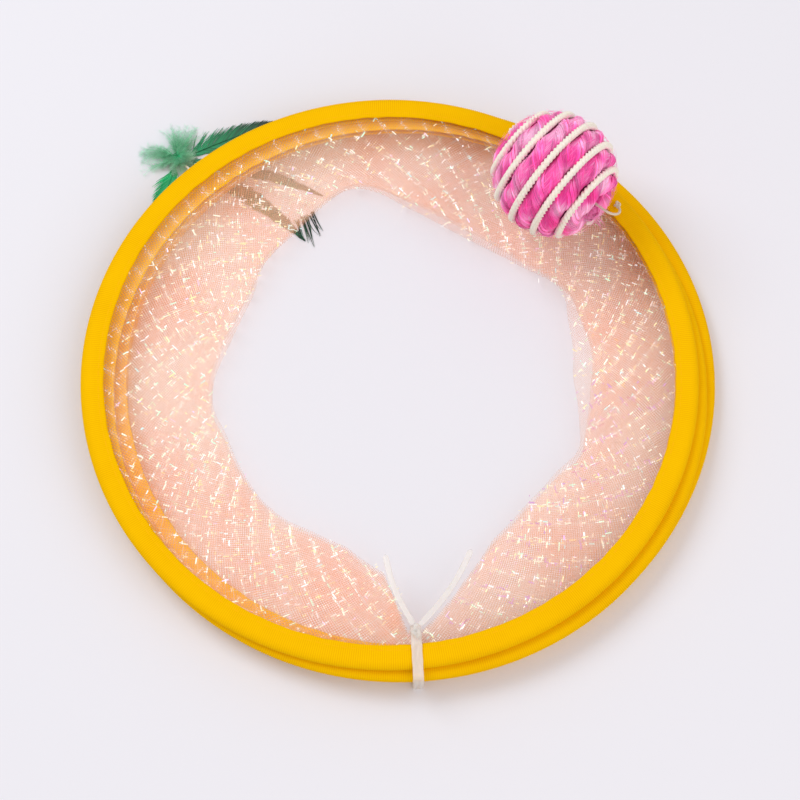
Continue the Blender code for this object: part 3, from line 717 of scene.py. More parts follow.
def tinsel_strips(bay, side, low, high, seed):
    """Dashes along both thread directions near the crossings of the tinsel threads, within a range of angles. A
    dash goes along and across its own direction from its crossing. At the lower right some dashes are painted
    violet, a painted reflection of the colour the film shows at that angle."""
    pick = np.random.default_rng(seed)
    steps = np.arange(-60, 61)
    p, q = (a.ravel() * tinsel_pitch for a in np.meshgrid(steps, steps))
    p = p + (tinsel_pitch / 2 if side < 0 else 0.0)
    around, inward = (p + q) / math.sqrt(2), (p - q) / math.sqrt(2)
    angle, radius = around / map_radius, map_radius * np.exp(inward / map_radius)
    kept = (angle >= low) & (angle < high) & (radius < 113.5)
    kept &= radius > fold_radius(bay, np.degrees(angle)) + 1.0
    angle, radius = angle[kept], radius[kept]
    strips = []
    for turn in (45.0, -45.0):
        for share, jog, shortest, longest, least, most in dashes:
            shown = pick.random(len(angle)) < share
            count = shown.sum()
            if not count:
                continue
            each = (count, 1, 1)
            way = np.radians(turn + pick.normal(0, 6, each))
            long = pick.uniform(shortest, longest, each)
            wide = pick.uniform(least, most, each)
            middle = pick.choice((-1, 1), each) * jog + pick.normal(0, 0.4, each)
            beyond = pick.normal(0, 0.45, each)
            along = np.array((-0.5, 0.0, 0.5))[:, None] * long + middle
            across = np.array((-0.5, 0.5)) * wide
            r = radius[shown].reshape(each) + along * np.sin(way) + across * np.cos(way)
            r = r + beyond * np.cos(way)
            beside = along * np.cos(way) - (across + beyond) * np.sin(way)
            points = cloth_place(bay, side, angle[shown].reshape(each) + beside / r, r)
            points[..., 2] += side * 0.12 + pick.normal(0, 0.08, (count, 1, 2)) + 0.08
            shade = film_tints[pick.choice(len(film_tints), count, p=film_odds)]
            # Painted reflection: at the lower right a share of the dashes takes the violet that the film reflects
            # there
            painted_violet = (np.cos(angle[shown] + 0.75) > 0.75) & (pick.random(count) < 0.3)
            shade = np.where(painted_violet[:, None], violet_reflection_tint, shade)
            strips.append(grid(points, tint=np.broadcast_to(shade[:, None, None], (count, 3, 2, 3)), finish=1))
    return strips


# %% The folded cloth
sectors = 12


def make_fold(bay, sector):
    """One sector of a folded bay: its upper sheet runs in from the seam to the fold and its lower sheet back out.
    The columns are closer at the strap, where the fold has its notch."""
    low, high = sector * 2 * np.pi / sectors, (sector + 1) * 2 * np.pi / sectors
    tie = math.radians(tie_angle % 360)
    angles = np.linspace(low, high, 49)
    if low < tie < high:
        close = tie + np.radians(np.linspace(-6, 6, 61))
        angles = np.unique(np.concatenate((angles, close)))
    fold = fold_radius(bay, np.degrees(angles))
    share = np.linspace(0, 1, 26)[None]
    upper = seam_radius + (fold[:, None] - seam_radius) * share
    points = [cloth_place(bay, side, angles[:, None] + 0 * upper, upper) for side in (1, -1)]
    sheet = np.concatenate((points[0], points[1][:, ::-1]), 1)
    maps = [cloth_map(angles[:, None] + 0 * upper, upper, shift) for shift in (0.0, tinsel_pitch / 2)]
    uv = np.concatenate((maps[0], maps[1][:, ::-1]), 1)
    grids = [grid(sheet, uv)]
    for side in (1, -1):
        grids += tinsel_strips(bay, side, low, high, 1000 * bay + 10 * sector + side)
    made = build(f"cloth_{bay}_fold_{sector + 1:02d}", grids, [sheer, tinsel])
    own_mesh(made)
    return made


# %% [markdown]
# The wall is the same cloth when the tunnel stands open. Folded, it is a narrow ring just inside the lips of two
# tapes. It follows the lower hoop at its lower edge and the upper hoop at its upper edge, and stretches to a
# tube between them. A point follows by a share that eases in and out, so the rows are spaced the other way. The
# tube draws in a little at its waist and ripples there, and both ends are tucked into the tapes.

# %% The wall between two hoops
bay_length = 160.0
wall_radius, wall_waist, tucked_radius, tucked_length = 111.6, 1.3, 115.0, 4.0
wall_low, wall_high = 2.65, 1.25  # Heights of its edges above the undersides of the lower and the upper hoop
wall_crossings, wall_rows = 78, 17  # Of the tinsel threads, round the wall and up it


def wall_place(bay, angle, share, above=0.0):
    """Point of the wall at an angle and a share of its length. Its radius draws in by the waist and ripples there,
    its ring slips sideways from one hoop to the next, and its height undoes the share 3s^2 - 2s^3 of the stretch."""
    upper, lower = hoop_centre(bay), hoop_centre(bay + 1)
    waist = np.sin(np.pi * share)
    ripple = 0.5 * waist * drift(angle + share * 0.9, (14, 19, 27), 70 + bay)
    radius = wall_radius + above - wall_waist * waist + ripple
    low, high = lower[2] + wall_low, upper[2] + wall_high
    height = low + (high - low) * (0.5 - np.sin(np.arcsin(1 - 2 * share) / 3))
    points = ringed(radius, angle, height)
    points[..., :2] += (lower + (upper - lower) * share[..., None])[..., :2]
    return points


def make_wall(bay):
    """The wall's sheet, from a tucked ring below, up its rows, to a tucked ring above, and its crosses."""
    upper, lower = hoop_centre(bay), hoop_centre(bay + 1)
    turns, rows = 360, 56
    angle = np.linspace(0, 2 * np.pi, turns, endpoint=False)[None]
    low, high = lower[2] + wall_low, upper[2] + wall_high
    ends = []
    for hoop, height in ((lower, low - 0.2), (upper, high + 0.2)):
        ring = ringed(tucked_radius, angle, height)
        ring[..., :2] += hoop[:2]
        ends.append(ring)
    points = np.concatenate((ends[0], wall_place(bay, angle, np.linspace(0, 1, rows)[:, None]), ends[1]))
    along = np.concatenate(([-tucked_length], np.linspace(0, bay_length, rows), [bay_length + tucked_length]))
    around = np.linspace(0, wall_crossings * tinsel_pitch, turns + 1)
    uv = np.stack(np.meshgrid(around, along), -1)
    grids = [grid(points, uv, (False, True))] + wall_tinsel(bay)
    made = build(f"cloth_{bay}_wall", grids, [sheer, tinsel])
    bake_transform(made)
    return made


def wall_tinsel(bay):
    """Crosses on the wall: strips in its own measure of angle and share of length, then put just above it."""
    pick = np.random.default_rng(80 + bay)
    column, row = (x.ravel() for x in np.meshgrid(np.arange(wall_crossings), np.arange(1, wall_rows + 1)))
    count = len(column)
    each = (count, 1, 1)
    grids = []
    for upright in (0, 1):
        long, wide = pick.uniform(2.8, 5.4, each), pick.uniform(0.38, 0.75, each)
        jog = pick.normal(0, 0.4, (2, *each))
        around = (column.reshape(each) * tinsel_pitch + jog[0]) + np.array((-0.5, 0.5))[:, None] * (
            wide if upright else long
        )
        up = (row.reshape(each) * tinsel_pitch + jog[1]) + np.array((-0.5, 0.5)) * (long if upright else wide)
        angle, share = np.broadcast_arrays(
            around / (wall_crossings * tinsel_pitch) * 2 * np.pi, np.clip(up / bay_length, 0, 1)
        )
        points = wall_place(bay, angle, share, 0.15 + pick.normal(0.1, 0.1, each))
        shade = film_tints[pick.choice(len(film_tints), count, p=film_odds)]
        shade = np.broadcast_to(shade[:, None, None], (*points.shape[:3], 3))
        grids.append(grid(points, tint=shade, finish=1))
    return grids


for bay in (1, 2, 3):
    wall = make_wall(bay)
    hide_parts(f"mesh_bay_{bay}")
    for sector in range(sectors):
        fold = make_fold(bay, sector)
        place(fold, f"hoop_{bay + 1}", "peach_mesh")
        reach = 2 * (seam_radius - fold_radius(bay, (sector + np.linspace(0, 1, 31)) * 360 / sectors).mean())

# %% [markdown]
# ## The strap that ties the stack
#
# A thin, frosted strap goes round all four hoops at the front and is knotted on top, and its two tails lie
# along the edges of the notch. It is whitish, half clear and a little crumpled, so its edges wander and its face
# has ridges. It can't open with the hoops, because in use it is untied first, so it is carried by the lowest one.

# %% The strap
# Soft vinyl strip, cast with a frosted face: milky, half the light goes through, blurred glints on its ridges
soft_strap, tree, shader = new_finish(
    "frosted_soft_vinyl", Roughness=0.3, Specular_IOR_Level=0.55, Alpha=0.5, Subsurface_Weight=0.1
)
shader.inputs["Base Color"].default_value = linear("#FBF7F2")
crumple_grain = 0.42 / MM  # A crumple is about 2.4 mm wide
spot = add_node(tree, "ShaderNodeTexCoord")
crumple = add_node(
    tree, "ShaderNodeTexNoise", {"Vector": spot.outputs["Object"], "Scale": crumple_grain, "Detail": 3.0}
)
bump = add_node(tree, "ShaderNodeBump", {"Strength": 0.6, "Distance": 0.5 * MM, "Height": crumple.outputs[0]})
tree.links.new(bump.outputs["Normal"], shader.inputs["Normal"])

tie_way = heading(tie_angle)
tie_aside = np.array((-tie_way[1], tie_way[0], 0.0))
tie_top, tie_low, tie_inner, tie_outer = 17.05, 0.25, 102.3, 122.95
knot_radius, knot_height, tail_start, tail_end = 105.35, 18.9, 19.0, 15.45
strap_up = np.array((0.0, 0.0, 1.0))


def rounded_loop(low, high, radius, count):
    """Closed path of a rectangle with round corners: each corner a quarter circle, the sides run straight."""
    corners = []
    for x, z, start in (
        (high[0], high[1], 0), (low[0], high[1], 90), (low[0], low[1], 180), (high[0], low[1], 270),
    ):
        turn = np.radians(start + np.linspace(0, 90, 7))
        inset = radius * (1 if x > low[0] else -1), radius * (1 if z > low[1] else -1)
        corners.append(np.stack((x - inset[0] + radius * np.cos(turn), z - inset[1] + radius * np.sin(turn)), -1))
    closed = np.concatenate(corners + [corners[0][:1]])
    far = far_along(closed)
    at = np.linspace(0, far[-1], count, endpoint=False)
    return np.stack([np.interp(at, far, closed[:, k]) for k in (0, 1)], -1)


def make_band():
    """The strap's loop: two faces carried round the stack, 0.2 mm each side of its middle plus a few ridges, that
    come together at their edges, and a narrow strip along each edge."""
    loop = rounded_loop((tie_inner, tie_low), (tie_outer, tie_top), 1.75, 150)
    path = loop[:, :1] * tie_way + loop[:, 1:] * strap_up
    way = unit(np.roll(path, -1, 0) - np.roll(path, 1, 0))
    out = np.cross(way, tie_aside)
    pick = np.random.default_rng(5)
    across = np.linspace(-1, 1, 13)
    at = np.linspace(0, 2 * np.pi, len(path), endpoint=False)
    width = 2.0 * (1 + 0.05 * drift(at, (5, 9, 14), 6))
    ridge = sum(
        pick.uniform(0.02, 0.06)
        * np.cos(pick.uniform(3, 9) * across[None] + drift(at, (4, 7), 90 + k)[:, None] * 2)
        for k in range(4)
    )
    grids = []
    for face in (1, -1):
        deep = (0.2 * face + ridge) * np.where(np.abs(across) > 0.95, 0.3, 1.0)
        points = path[:, None] + (width[:, None] * across)[..., None] * tie_aside + deep[..., None] * out[:, None]
        grids.append(grid(points, ring=(True, False), flip=face < 0))
    edges = []
    for column, face in ((0, 1), (-1, -1)):
        pair = [g["points"].reshape(len(path), len(across), 3)[:, column] for g in grids]
        edges.append(grid(np.stack(pair, 1), ring=(True, False), flip=face > 0))
    return build("tie_strap_loop", grids + edges, [soft_strap], weld=True)


def ribbon(path, width, thick, waves, seed):
    """A flat strip with rounded edges along a path. Its width narrows to the tip and its face wavers."""
    along = np.linspace(0, 1, len(path))
    wavering = 0.12 * np.sin(2 * np.pi * waves * along + seed) * np.sin(np.pi * along)
    path = path + wavering[:, None] * strap_up
    half = thick / 2 * np.minimum(1, np.minimum(along, 1 - along) * 40 + closed_end)
    return tube(path, half, 16, widen=width / thick)


def tail_path(turn, share, side):
    """A tail's line on the cloth: from the knot, a little bowed, easing down to the cloth's height."""
    start = knot_radius * tie_way + tail_start * strap_up
    end = hoop_outer * share * heading(tie_angle + turn) + tail_end * strap_up
    along = (end - start) * (1, 1, 0)
    along /= np.linalg.norm(along)
    begin = start + along * 2.2
    reach = np.linalg.norm((end - begin)[:2])
    step = np.linspace(0, 1, 60)[:, None]
    bow = 0.05 * reach * np.sin(np.pi * step) * side
    path = begin + along * step * reach + np.cross(strap_up, along) * bow
    path[:, 2] = tail_start + (tail_end - tail_start) * (step * step * (3 - 2 * step))[:, 0]
    return path


def knotted(name, centre, size, thick, finish, turn=0.0, **rest):
    """An overhand knot: the trefoil line (sin t + 2 sin 2t, cos t - 2 cos 2t, -sin 3t), scaled to its box."""
    t = np.linspace(0, 2 * np.pi, 121)
    line = np.stack((np.sin(t) + 2 * np.sin(2 * t), np.cos(t) - 2 * np.cos(2 * t), -np.sin(3 * t)), -1)
    x, y, z = (line * (np.array(size) / 2 - thick) / (3, 3, 1)).T
    c, s = np.cos(np.radians(turn)), np.sin(np.radians(turn))
    line = np.stack((x * c - y * s, x * s + y * c, z), -1) + np.array(centre)
    return build(name, [tube(line, shut_ends(thick, len(t)), 12, **rest)], [finish], weld=True)


tails = [
    build("tie_strap_tail_left", [ribbon(tail_path(-7.6, 0.62, 1), 2.3, 0.42, 3, 0)], [soft_strap], weld=True),
    build("tie_strap_tail_right", [ribbon(tail_path(17.0, 0.64, -1), 2.3, 0.42, 4, 2)], [soft_strap], weld=True),
]
strap_pieces = {
    "tie_band": make_band(),
    "tie_knot": knotted(
        "tie_strap_knot", knot_radius * tie_way + knot_height * strap_up, (6.0, 4.4, 2.9), 0.85, soft_strap,
        tie_angle,
    ),
    "tie_tail_left": tails[0],
    "tie_tail_right": tails[1],
}
for node, piece in strap_pieces.items():
    place(piece, "hoop_4", "clear_strap", node)
    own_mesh(piece)

# %% [markdown]
# ## The rope-wound ball
#
# A foam ball is wound with a loose two-strand rope of dyed sisal. A thinner, hard-laid cream cord lies in the
# groove between its turns. Both follow one line: a spiral from pole to pole, evenly pitched over the ball. The
# rope's strands cross over each other every 13 mm, and each shows as a leaf-shaped lobe. The strands are
# bundles, so a second layer of single fibres winds on them, and a few have come loose.

# %% The winding line
ball_centre = np.array((60.50, 74.06, 39.43))
ball_axis = Vector((0.788, -0.615, -0.06)).normalized()
ball_turn = np.array(ball_axis.to_track_quat("Z", "Y").to_matrix())
winding_pitch, rope_centre_radius, cord_centre_radius = 9.0, 21.4, 23.7
winding_start = -112.0
per_turn = winding_pitch / rope_centre_radius
pole_gap = math.asin(6.2 / rope_centre_radius)  # The winding starts 6.2 mm from the ball's axis


def spiral(phase, count):
    """Outward directions of the winding: the angle from the pole grows evenly with the turn round the axis."""
    turn = np.linspace(0, (math.pi - 2 * pole_gap) / per_turn - phase, count)
    down = pole_gap + phase * per_turn + per_turn * turn
    return ringed(np.sin(down), 2 * np.pi * turn + math.radians(winding_start), np.cos(down)) @ ball_turn.T


def wound_line(radius, phase, spacing):
    """The winding's line, outward directions and length. A rough spiral gives the length, and the length over the
    spacing gives the count of points."""
    rough_length = far_along(spiral(phase, 400))[-1] * radius
    out = spiral(phase, int(rough_length / spacing))
    return ball_centre + radius * out, out, far_along(out)[-1] * radius


def twisted_about(path, out, offset, lay, phase):
    """A line that winds round another: an oval offset (across, outward) that turns once in each lay."""
    forward = unit(np.gradient(path, axis=0))
    side = np.cross(out, forward)
    turn = -2 * np.pi * far_along(path) / lay + phase
    return path + (offset[0] * np.cos(turn))[:, None] * side + (offset[1] * np.sin(turn))[:, None] * out


def strands(paths, radius, sides=3, **rest):
    """Many thin tubes at once: paths[copies, rows, 3] with a radius for each row."""
    ahead = unit(np.gradient(paths, axis=1))
    side = unit(np.cross(ahead, (0.31, 0.17, 0.93)))
    above = np.cross(side, ahead)
    angle = np.linspace(0, 2 * np.pi, sides, endpoint=False)
    ring = np.cos(angle)[:, None] * side[:, :, None] + np.sin(angle)[:, None] * above[:, :, None]
    return grid(paths[:, :, None] + radius[..., None, None] * ring, ring=(False, True), **rest)


def fading(count, over):
    """1 all along a winding, and down to next to nothing over its first and its last few points."""
    step = np.arange(count)
    return np.minimum(1, np.minimum(step, step[::-1]) / over + closed_end)


# %% Finishes of the rope and the cord
# Sisal, combed, dyed and twisted: streaks of deep and pale dye along the fibres, and a silky sheen on their sides
dyed_sisal, tree, shader = new_finish(
    "dyed_sisal_fibre", Roughness=0.5, Sheen_Weight=0.3, Sheen_Roughness=0.35, Specular_IOR_Level=0.4
)
fibre_grain, streak_grain = 5.0, 0.16  # Streaks to the millimetre: 0.2 mm wide like a fibre, and 6 mm long
patch_grain = 0.095 / MM  # A patch of deeper dye is about 10 mm long
fibre_tint = add_node(tree, "ShaderNodeAttribute", attribute_name="tint")
cloth = add_node(tree, "ShaderNodeUVMap", uv_map="cloth")
streak = add_node(
    tree, "ShaderNodeMapping", {"Vector": cloth.outputs["UV"], "Scale": (fibre_grain, streak_grain, 1.0)}
)
grain = add_node(tree, "ShaderNodeTexNoise", {"Vector": streak.outputs["Vector"], "Scale": 1.0, "Detail": 3.0})
spot = add_node(tree, "ShaderNodeTexCoord")
patch = add_node(
    tree, "ShaderNodeTexNoise", {"Vector": spot.outputs["Object"], "Scale": patch_grain, "Detail": 1.0}
)
dyed_depth = add_node(
    tree, "ShaderNodeMixRGB", {"Fac": 0.55, "Color1": grain.outputs[0], "Color2": patch.outputs[0]}
)
depth = add_node(
    tree, "ShaderNodeValToRGB", {"Fac": dyed_depth.outputs["Color"]},
    stops=((0.36, "#F32C9A"), (0.49, "#FF66BC"), (0.61, "#FFC2E6")),
)
dyed = add_node(
    tree, "ShaderNodeMixRGB",
    {"Fac": 1.0, "Color1": depth.outputs["Color"], "Color2": fibre_tint.outputs["Color"]}, blend_type="MULTIPLY",
)
tree.links.new(dyed.outputs["Color"], shader.inputs["Base Color"])
bump = add_node(tree, "ShaderNodeBump", {"Strength": 0.7, "Distance": 0.3 * MM, "Height": grain.outputs[0]})
tree.links.new(bump.outputs["Normal"], shader.inputs["Normal"])

# Undyed cotton, spun and hard-laid: cream, matt and slightly fuzzy, darker only in the grooves between its plies
cotton_cord, tree, shader = new_finish("twisted_cotton_cord", Roughness=0.85, Sheen_Weight=0.3)
lint_grain = 1.5 / MM  # A tuft of lint is 0.7 mm wide, which is coarser than real, so that it can show
spot = add_node(tree, "ShaderNodeTexCoord")
fuzz = add_node(tree, "ShaderNodeTexNoise", {"Vector": spot.outputs["Object"], "Scale": lint_grain, "Detail": 3.0})
tone = add_node(tree, "ShaderNodeValToRGB", {"Fac": fuzz.outputs[0]}, stops=((0.3, "#F6EED8"), (0.7, "#FFFDF4")))
tree.links.new(tone.outputs["Color"], shader.inputs["Base Color"])
bump = add_node(tree, "ShaderNodeBump", {"Strength": 0.5, "Distance": 0.2 * MM, "Height": fuzz.outputs[0]})
tree.links.new(bump.outputs["Normal"], shader.inputs["Normal"])

# %% The ball's rope, cord and loose fibres
rope_line, rope_out, rope_length = wound_line(rope_centre_radius, 0.0, 1.25)
print(f"rope {rope_length:.0f} mm")
taper = fading(len(rope_line), 4)
rope_lay, strand_lay = 27.0, 19.0
strand_radius, strand_offset, fibres_round = 2.1, (1.85, 1.1), 26
pick = np.random.default_rng(11)
plies, fibres = [], []
for ply in (0, 1):
    line = twisted_about(rope_line, rope_out, strand_offset, rope_lay, math.pi * ply)
    plies.append(tube(line, strand_radius * taper, 18, lobes=6, lobe_share=0.06, lay=-strand_lay, up=rope_out))
    for fibre in range(fibres_round):
        reach = strand_radius + 0.12 * pick.normal()
        path = twisted_about(
            line, rope_out, (reach * 1.02, reach * 0.97), strand_lay, 2 * math.pi * fibre / fibres_round
        )
        way = np.linspace(0, 6, len(path))
        path = path + 0.26 * np.stack([drift(way, range(5, 40, 6), pick.integers(999)) for _ in range(3)], -1)
        shade = pick.choice((0.8, 1.0, 1.1, 1.3, 1.7)) * pick.uniform(0.9, 1.1)
        tint = np.full((len(path), 4, 3), shade)
        thin = pick.uniform(0.22, 0.42)
        fibres.append(tube(path, thin * taper, 4, up=rope_out, tint=tint))
# A flat filling under the strands closes the gaps between the turns
plies.append(tube(rope_line - 0.3 * rope_out, 2.5 * taper, 18, widen=1.42, up=rope_out))
place(build("ball_rope_strands", plies, [dyed_sisal], weld=True), "ball", "pink_rope", "ball_pink_rope")
place(build("ball_rope_fibres", fibres, [dyed_sisal], weld=True), "ball", "pink_rope")

cord_line, cord_out, cord_length = wound_line(cord_centre_radius, 0.5, 0.42)
print(f"cord {cord_length:.0f} mm")
cord_radius, cord_lay = 1.2, 5.4
cord = tube(
    cord_line + 0.15 * cord_out, cord_radius * fading(len(cord_line), 5), 20,
    lobes=3, lobe_share=0.26, lay=-cord_lay, up=cord_out,
)
place(build("ball_cord", [cord], [cotton_cord], weld=True), "ball", "cream_cord", "ball_cream_cord")
rope_face = 24.4  # The rope's outer face, from the middle of the ball


def loose_fibres(count, seed):
    """Hairs that lift off the rope: each starts on the ball, runs along the winding and curves outward."""
    pick = np.random.default_rng(seed)
    at = pick.integers(3, len(rope_line) - 3, count)
    ahead = unit(rope_line[at + 1] - rope_line[at - 1]) * pick.choice((-1, 1), (count, 1))
    out = rope_out[at]
    side = np.cross(out, ahead)
    start = ball_centre + out * rope_face + side * pick.uniform(-3.4, 3.4, (count, 1))
    step = np.linspace(0, 1, 7)[None, :, None]
    long = pick.uniform(3, 8, (count, 1, 1))
    lift = pick.uniform(0.0, 1.5, (count, 1, 1)) ** 1.6
    swing = pick.normal(0, 0.45, (count, 1, 1))
    path = start[:, None] + long * (step * ahead[:, None] + (swing * step + 0.5 * swing * step**2) * side[:, None])
    away = unit(path - ball_centre)
    path = ball_centre + away * (rope_face + 0.1 + lift * step**1.5)
    radius = pick.uniform(0.05, 0.10, (count, 1)) * (1.0 - 0.8 * step[..., 0])
    tint = np.broadcast_to(pick.uniform(0.9, 1.7, (count, 1, 1, 1)), (count, 7, 3, 3))
    return strands(path, radius, tint=tint)


def rope_end(count, seed):
    """The rope's cut end at the pole: its fibres stand out in a small tuft."""
    pick = np.random.default_rng(seed)
    start = rope_line[1] + pick.normal(0, 1.2, (count, 3)) * (1, 1, 0.6)
    way = unit(np.array((0.75, -0.62, -0.35)) + pick.normal(0, 0.33, (count, 3)))
    step = np.linspace(0, 1, 6)[None, :, None]
    long = pick.uniform(2.5, 6.5, (count, 1, 1))
    path = start[:, None] + way[:, None] * long * step - np.array((0, 0, 1.0)) * long * 0.25 * step**2
    radius = pick.uniform(0.08, 0.16, (count, 1)) * (1 - 0.75 * step[..., 0])
    tint = np.broadcast_to(pick.uniform(0.8, 1.5, (count, 1, 1, 1)), (count, 6, 3, 3))
    return strands(path, radius, tint=tint)


place(build("ball_loose_fibres", [loose_fibres(700, 12), rope_end(26, 13)], [dyed_sisal]), "ball", "pink_rope")

# %% [markdown]
# Inside the ball is a core of foam, swelled from beads in a mould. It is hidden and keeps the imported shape.

# %% Finish of the ball's core
# Polystyrene beads, steamed together and tinted: matt, pink, with a darker seam round each bead
foam, tree, shader = new_finish("dyed_polystyrene_foam", Roughness=0.9)
bead_grain = 0.42 / MM  # A bead is about 2.4 mm wide
spot = add_node(tree, "ShaderNodeTexCoord")
beads = add_node(tree, "ShaderNodeTexVoronoi", {"Vector": spot.outputs["Object"], "Scale": bead_grain})
tone = add_node(
    tree, "ShaderNodeValToRGB", {"Fac": beads.outputs["Distance"]}, stops=((0.1, "#E85CAE"), (0.7, "#B92A7C"))
)
tree.links.new(tone.outputs["Color"], shader.inputs["Base Color"])
finish_packed("ball_core", foam)
print(f"beads {1 / bead_grain / MM:.1f} mm wide")

# %% [markdown]
# The ball hangs on a thin covered elastic. It is knotted below the ball, runs through its bore, leaves it
# straight and bends over to a knot on the top hoop. The cover is braided, which shows as fine slanted ribs.

# %% The elastic and its knots
# Rubber in a braided cotton cover: cream, matt and a little see-through, with fine slanted ribs
covered_elastic, tree, shader = new_finish("braided_elastic_cover", Roughness=0.75, Sheen_Weight=0.2, Alpha=0.75)
cloth = add_node(tree, "ShaderNodeUVMap", uv_map="cloth")
braid_scale = 0.75  # Of the wave, which repeats every 2 pi / 10 / scale: a rib every 0.84 mm
braid = add_node(
    tree, "ShaderNodeTexWave", {"Vector": cloth.outputs["UV"], "Scale": braid_scale, "Distortion": 0.4},
    bands_direction="DIAGONAL",
)
tone = add_node(
    tree, "ShaderNodeValToRGB", {"Fac": braid.outputs["Fac"]}, stops=((0.2, "#E2D8BE"), (0.8, "#F8F1E0"))
)
tree.links.new(tone.outputs["Color"], shader.inputs["Base Color"])
bump = add_node(tree, "ShaderNodeBump", {"Strength": 0.5, "Distance": 0.15 * MM, "Height": braid.outputs["Fac"]})
tree.links.new(bump.outputs["Normal"], shader.inputs["Normal"])

axis = np.array(ball_axis)
anchor = hoop_centre(1) + 115.42 * heading(37.2) + np.array((0, 0, 5.8))
far = ball_centre - axis * 19.8
leave = ball_centre + axis * 25.0
lead = leave + axis * 4.0
middle = (lead + anchor) / 2
bulge = middle + unit(middle - ball_centre) * 4.0
last = anchor + unit(bulge - anchor) * 1.4
step = np.linspace(0, 1, 40)[:, None]
back = 1 - step
curve = back**3 * leave + 3 * back**2 * step * lead + 3 * back * step**2 * bulge + step**3 * last
straight = far + axis * 2.2 + (leave - far - axis * 2.2) * np.linspace(0, 1, 30, endpoint=False)[:, None]
route = np.concatenate((straight, curve))
thin_cord = 0.52  # Radius of the elastic, and of the feathers' cord
print(f"elastic {far_along(route)[-1]:.1f} mm")
elastic = build(
    "ball_elastic_cord", [tube(route, shut_ends(thin_cord, len(route)), 12)], [covered_elastic], weld=True
)
place(elastic, "ball_hanger", "elastic", "ball_elastic")
stop = knotted("ball_elastic_stop_knot", far, (4.0, 4.0, 3.6), 0.68, covered_elastic, 20)
place(stop, "ball_hanger", "elastic", "ball_stop_knot")
tied = knotted("ball_elastic_anchor_knot", anchor, (3.0, 3.0, 2.8), 0.5, covered_elastic, 50)
place(tied, "hoop_1", "elastic", "ball_anchor_knot")

# %% [markdown]
# ## The feathers
#
# Four dyed cock feathers and their down are bound together and hang on a short cord at the back left. Most of
# their length lies under the stack, where it shows through the cloth, and two tips reach past the fold. A vane
# is a row of barbs on each side of the quill, each a narrow ribbon that leaves it at a slant and curves to the
# tip. The barbs lie edge to edge except where they have parted. The colour goes from bright green at the foot
# to nearly black at the tip, as dye takes differently on the dark part.

# %% Feather finish
# Cock feathers, washed and dyed green: thin horny barbs with a soft gloss, bright where they were white
dyed_feather, tree, shader = new_finish(
    "dyed_feather_keratin", Roughness=0.45, Sheen_Weight=0.25, Sheen_Roughness=0.3, Specular_IOR_Level=0.5
)
barb_tint = add_node(tree, "ShaderNodeAttribute", attribute_name="tint")
tree.links.new(barb_tint.outputs["Color"], shader.inputs["Base Color"])

lure_root = np.array((-93.51, 102.48, 0.0))
longest, barb_pitch, barb_slant = 72.0, 0.30, 42


def quill_line(angle, length, bend, step):
    """A quill's point and direction at shares of its length: the heading turns evenly towards the tip."""
    start = lure_root + heading(angle) * 2.9
    return start + (length * step)[..., None] * heading(angle + bend * step / 2), angle + bend * step


def vane_reach(step):
    """How wide a vane is along the quill, from 0 to 1: full from near its foot, widest at a third, narrow tip."""
    on = np.clip((step - 0.02) / 0.98, 0, 1)
    return np.sin(np.pi * on**0.6) ** 0.7


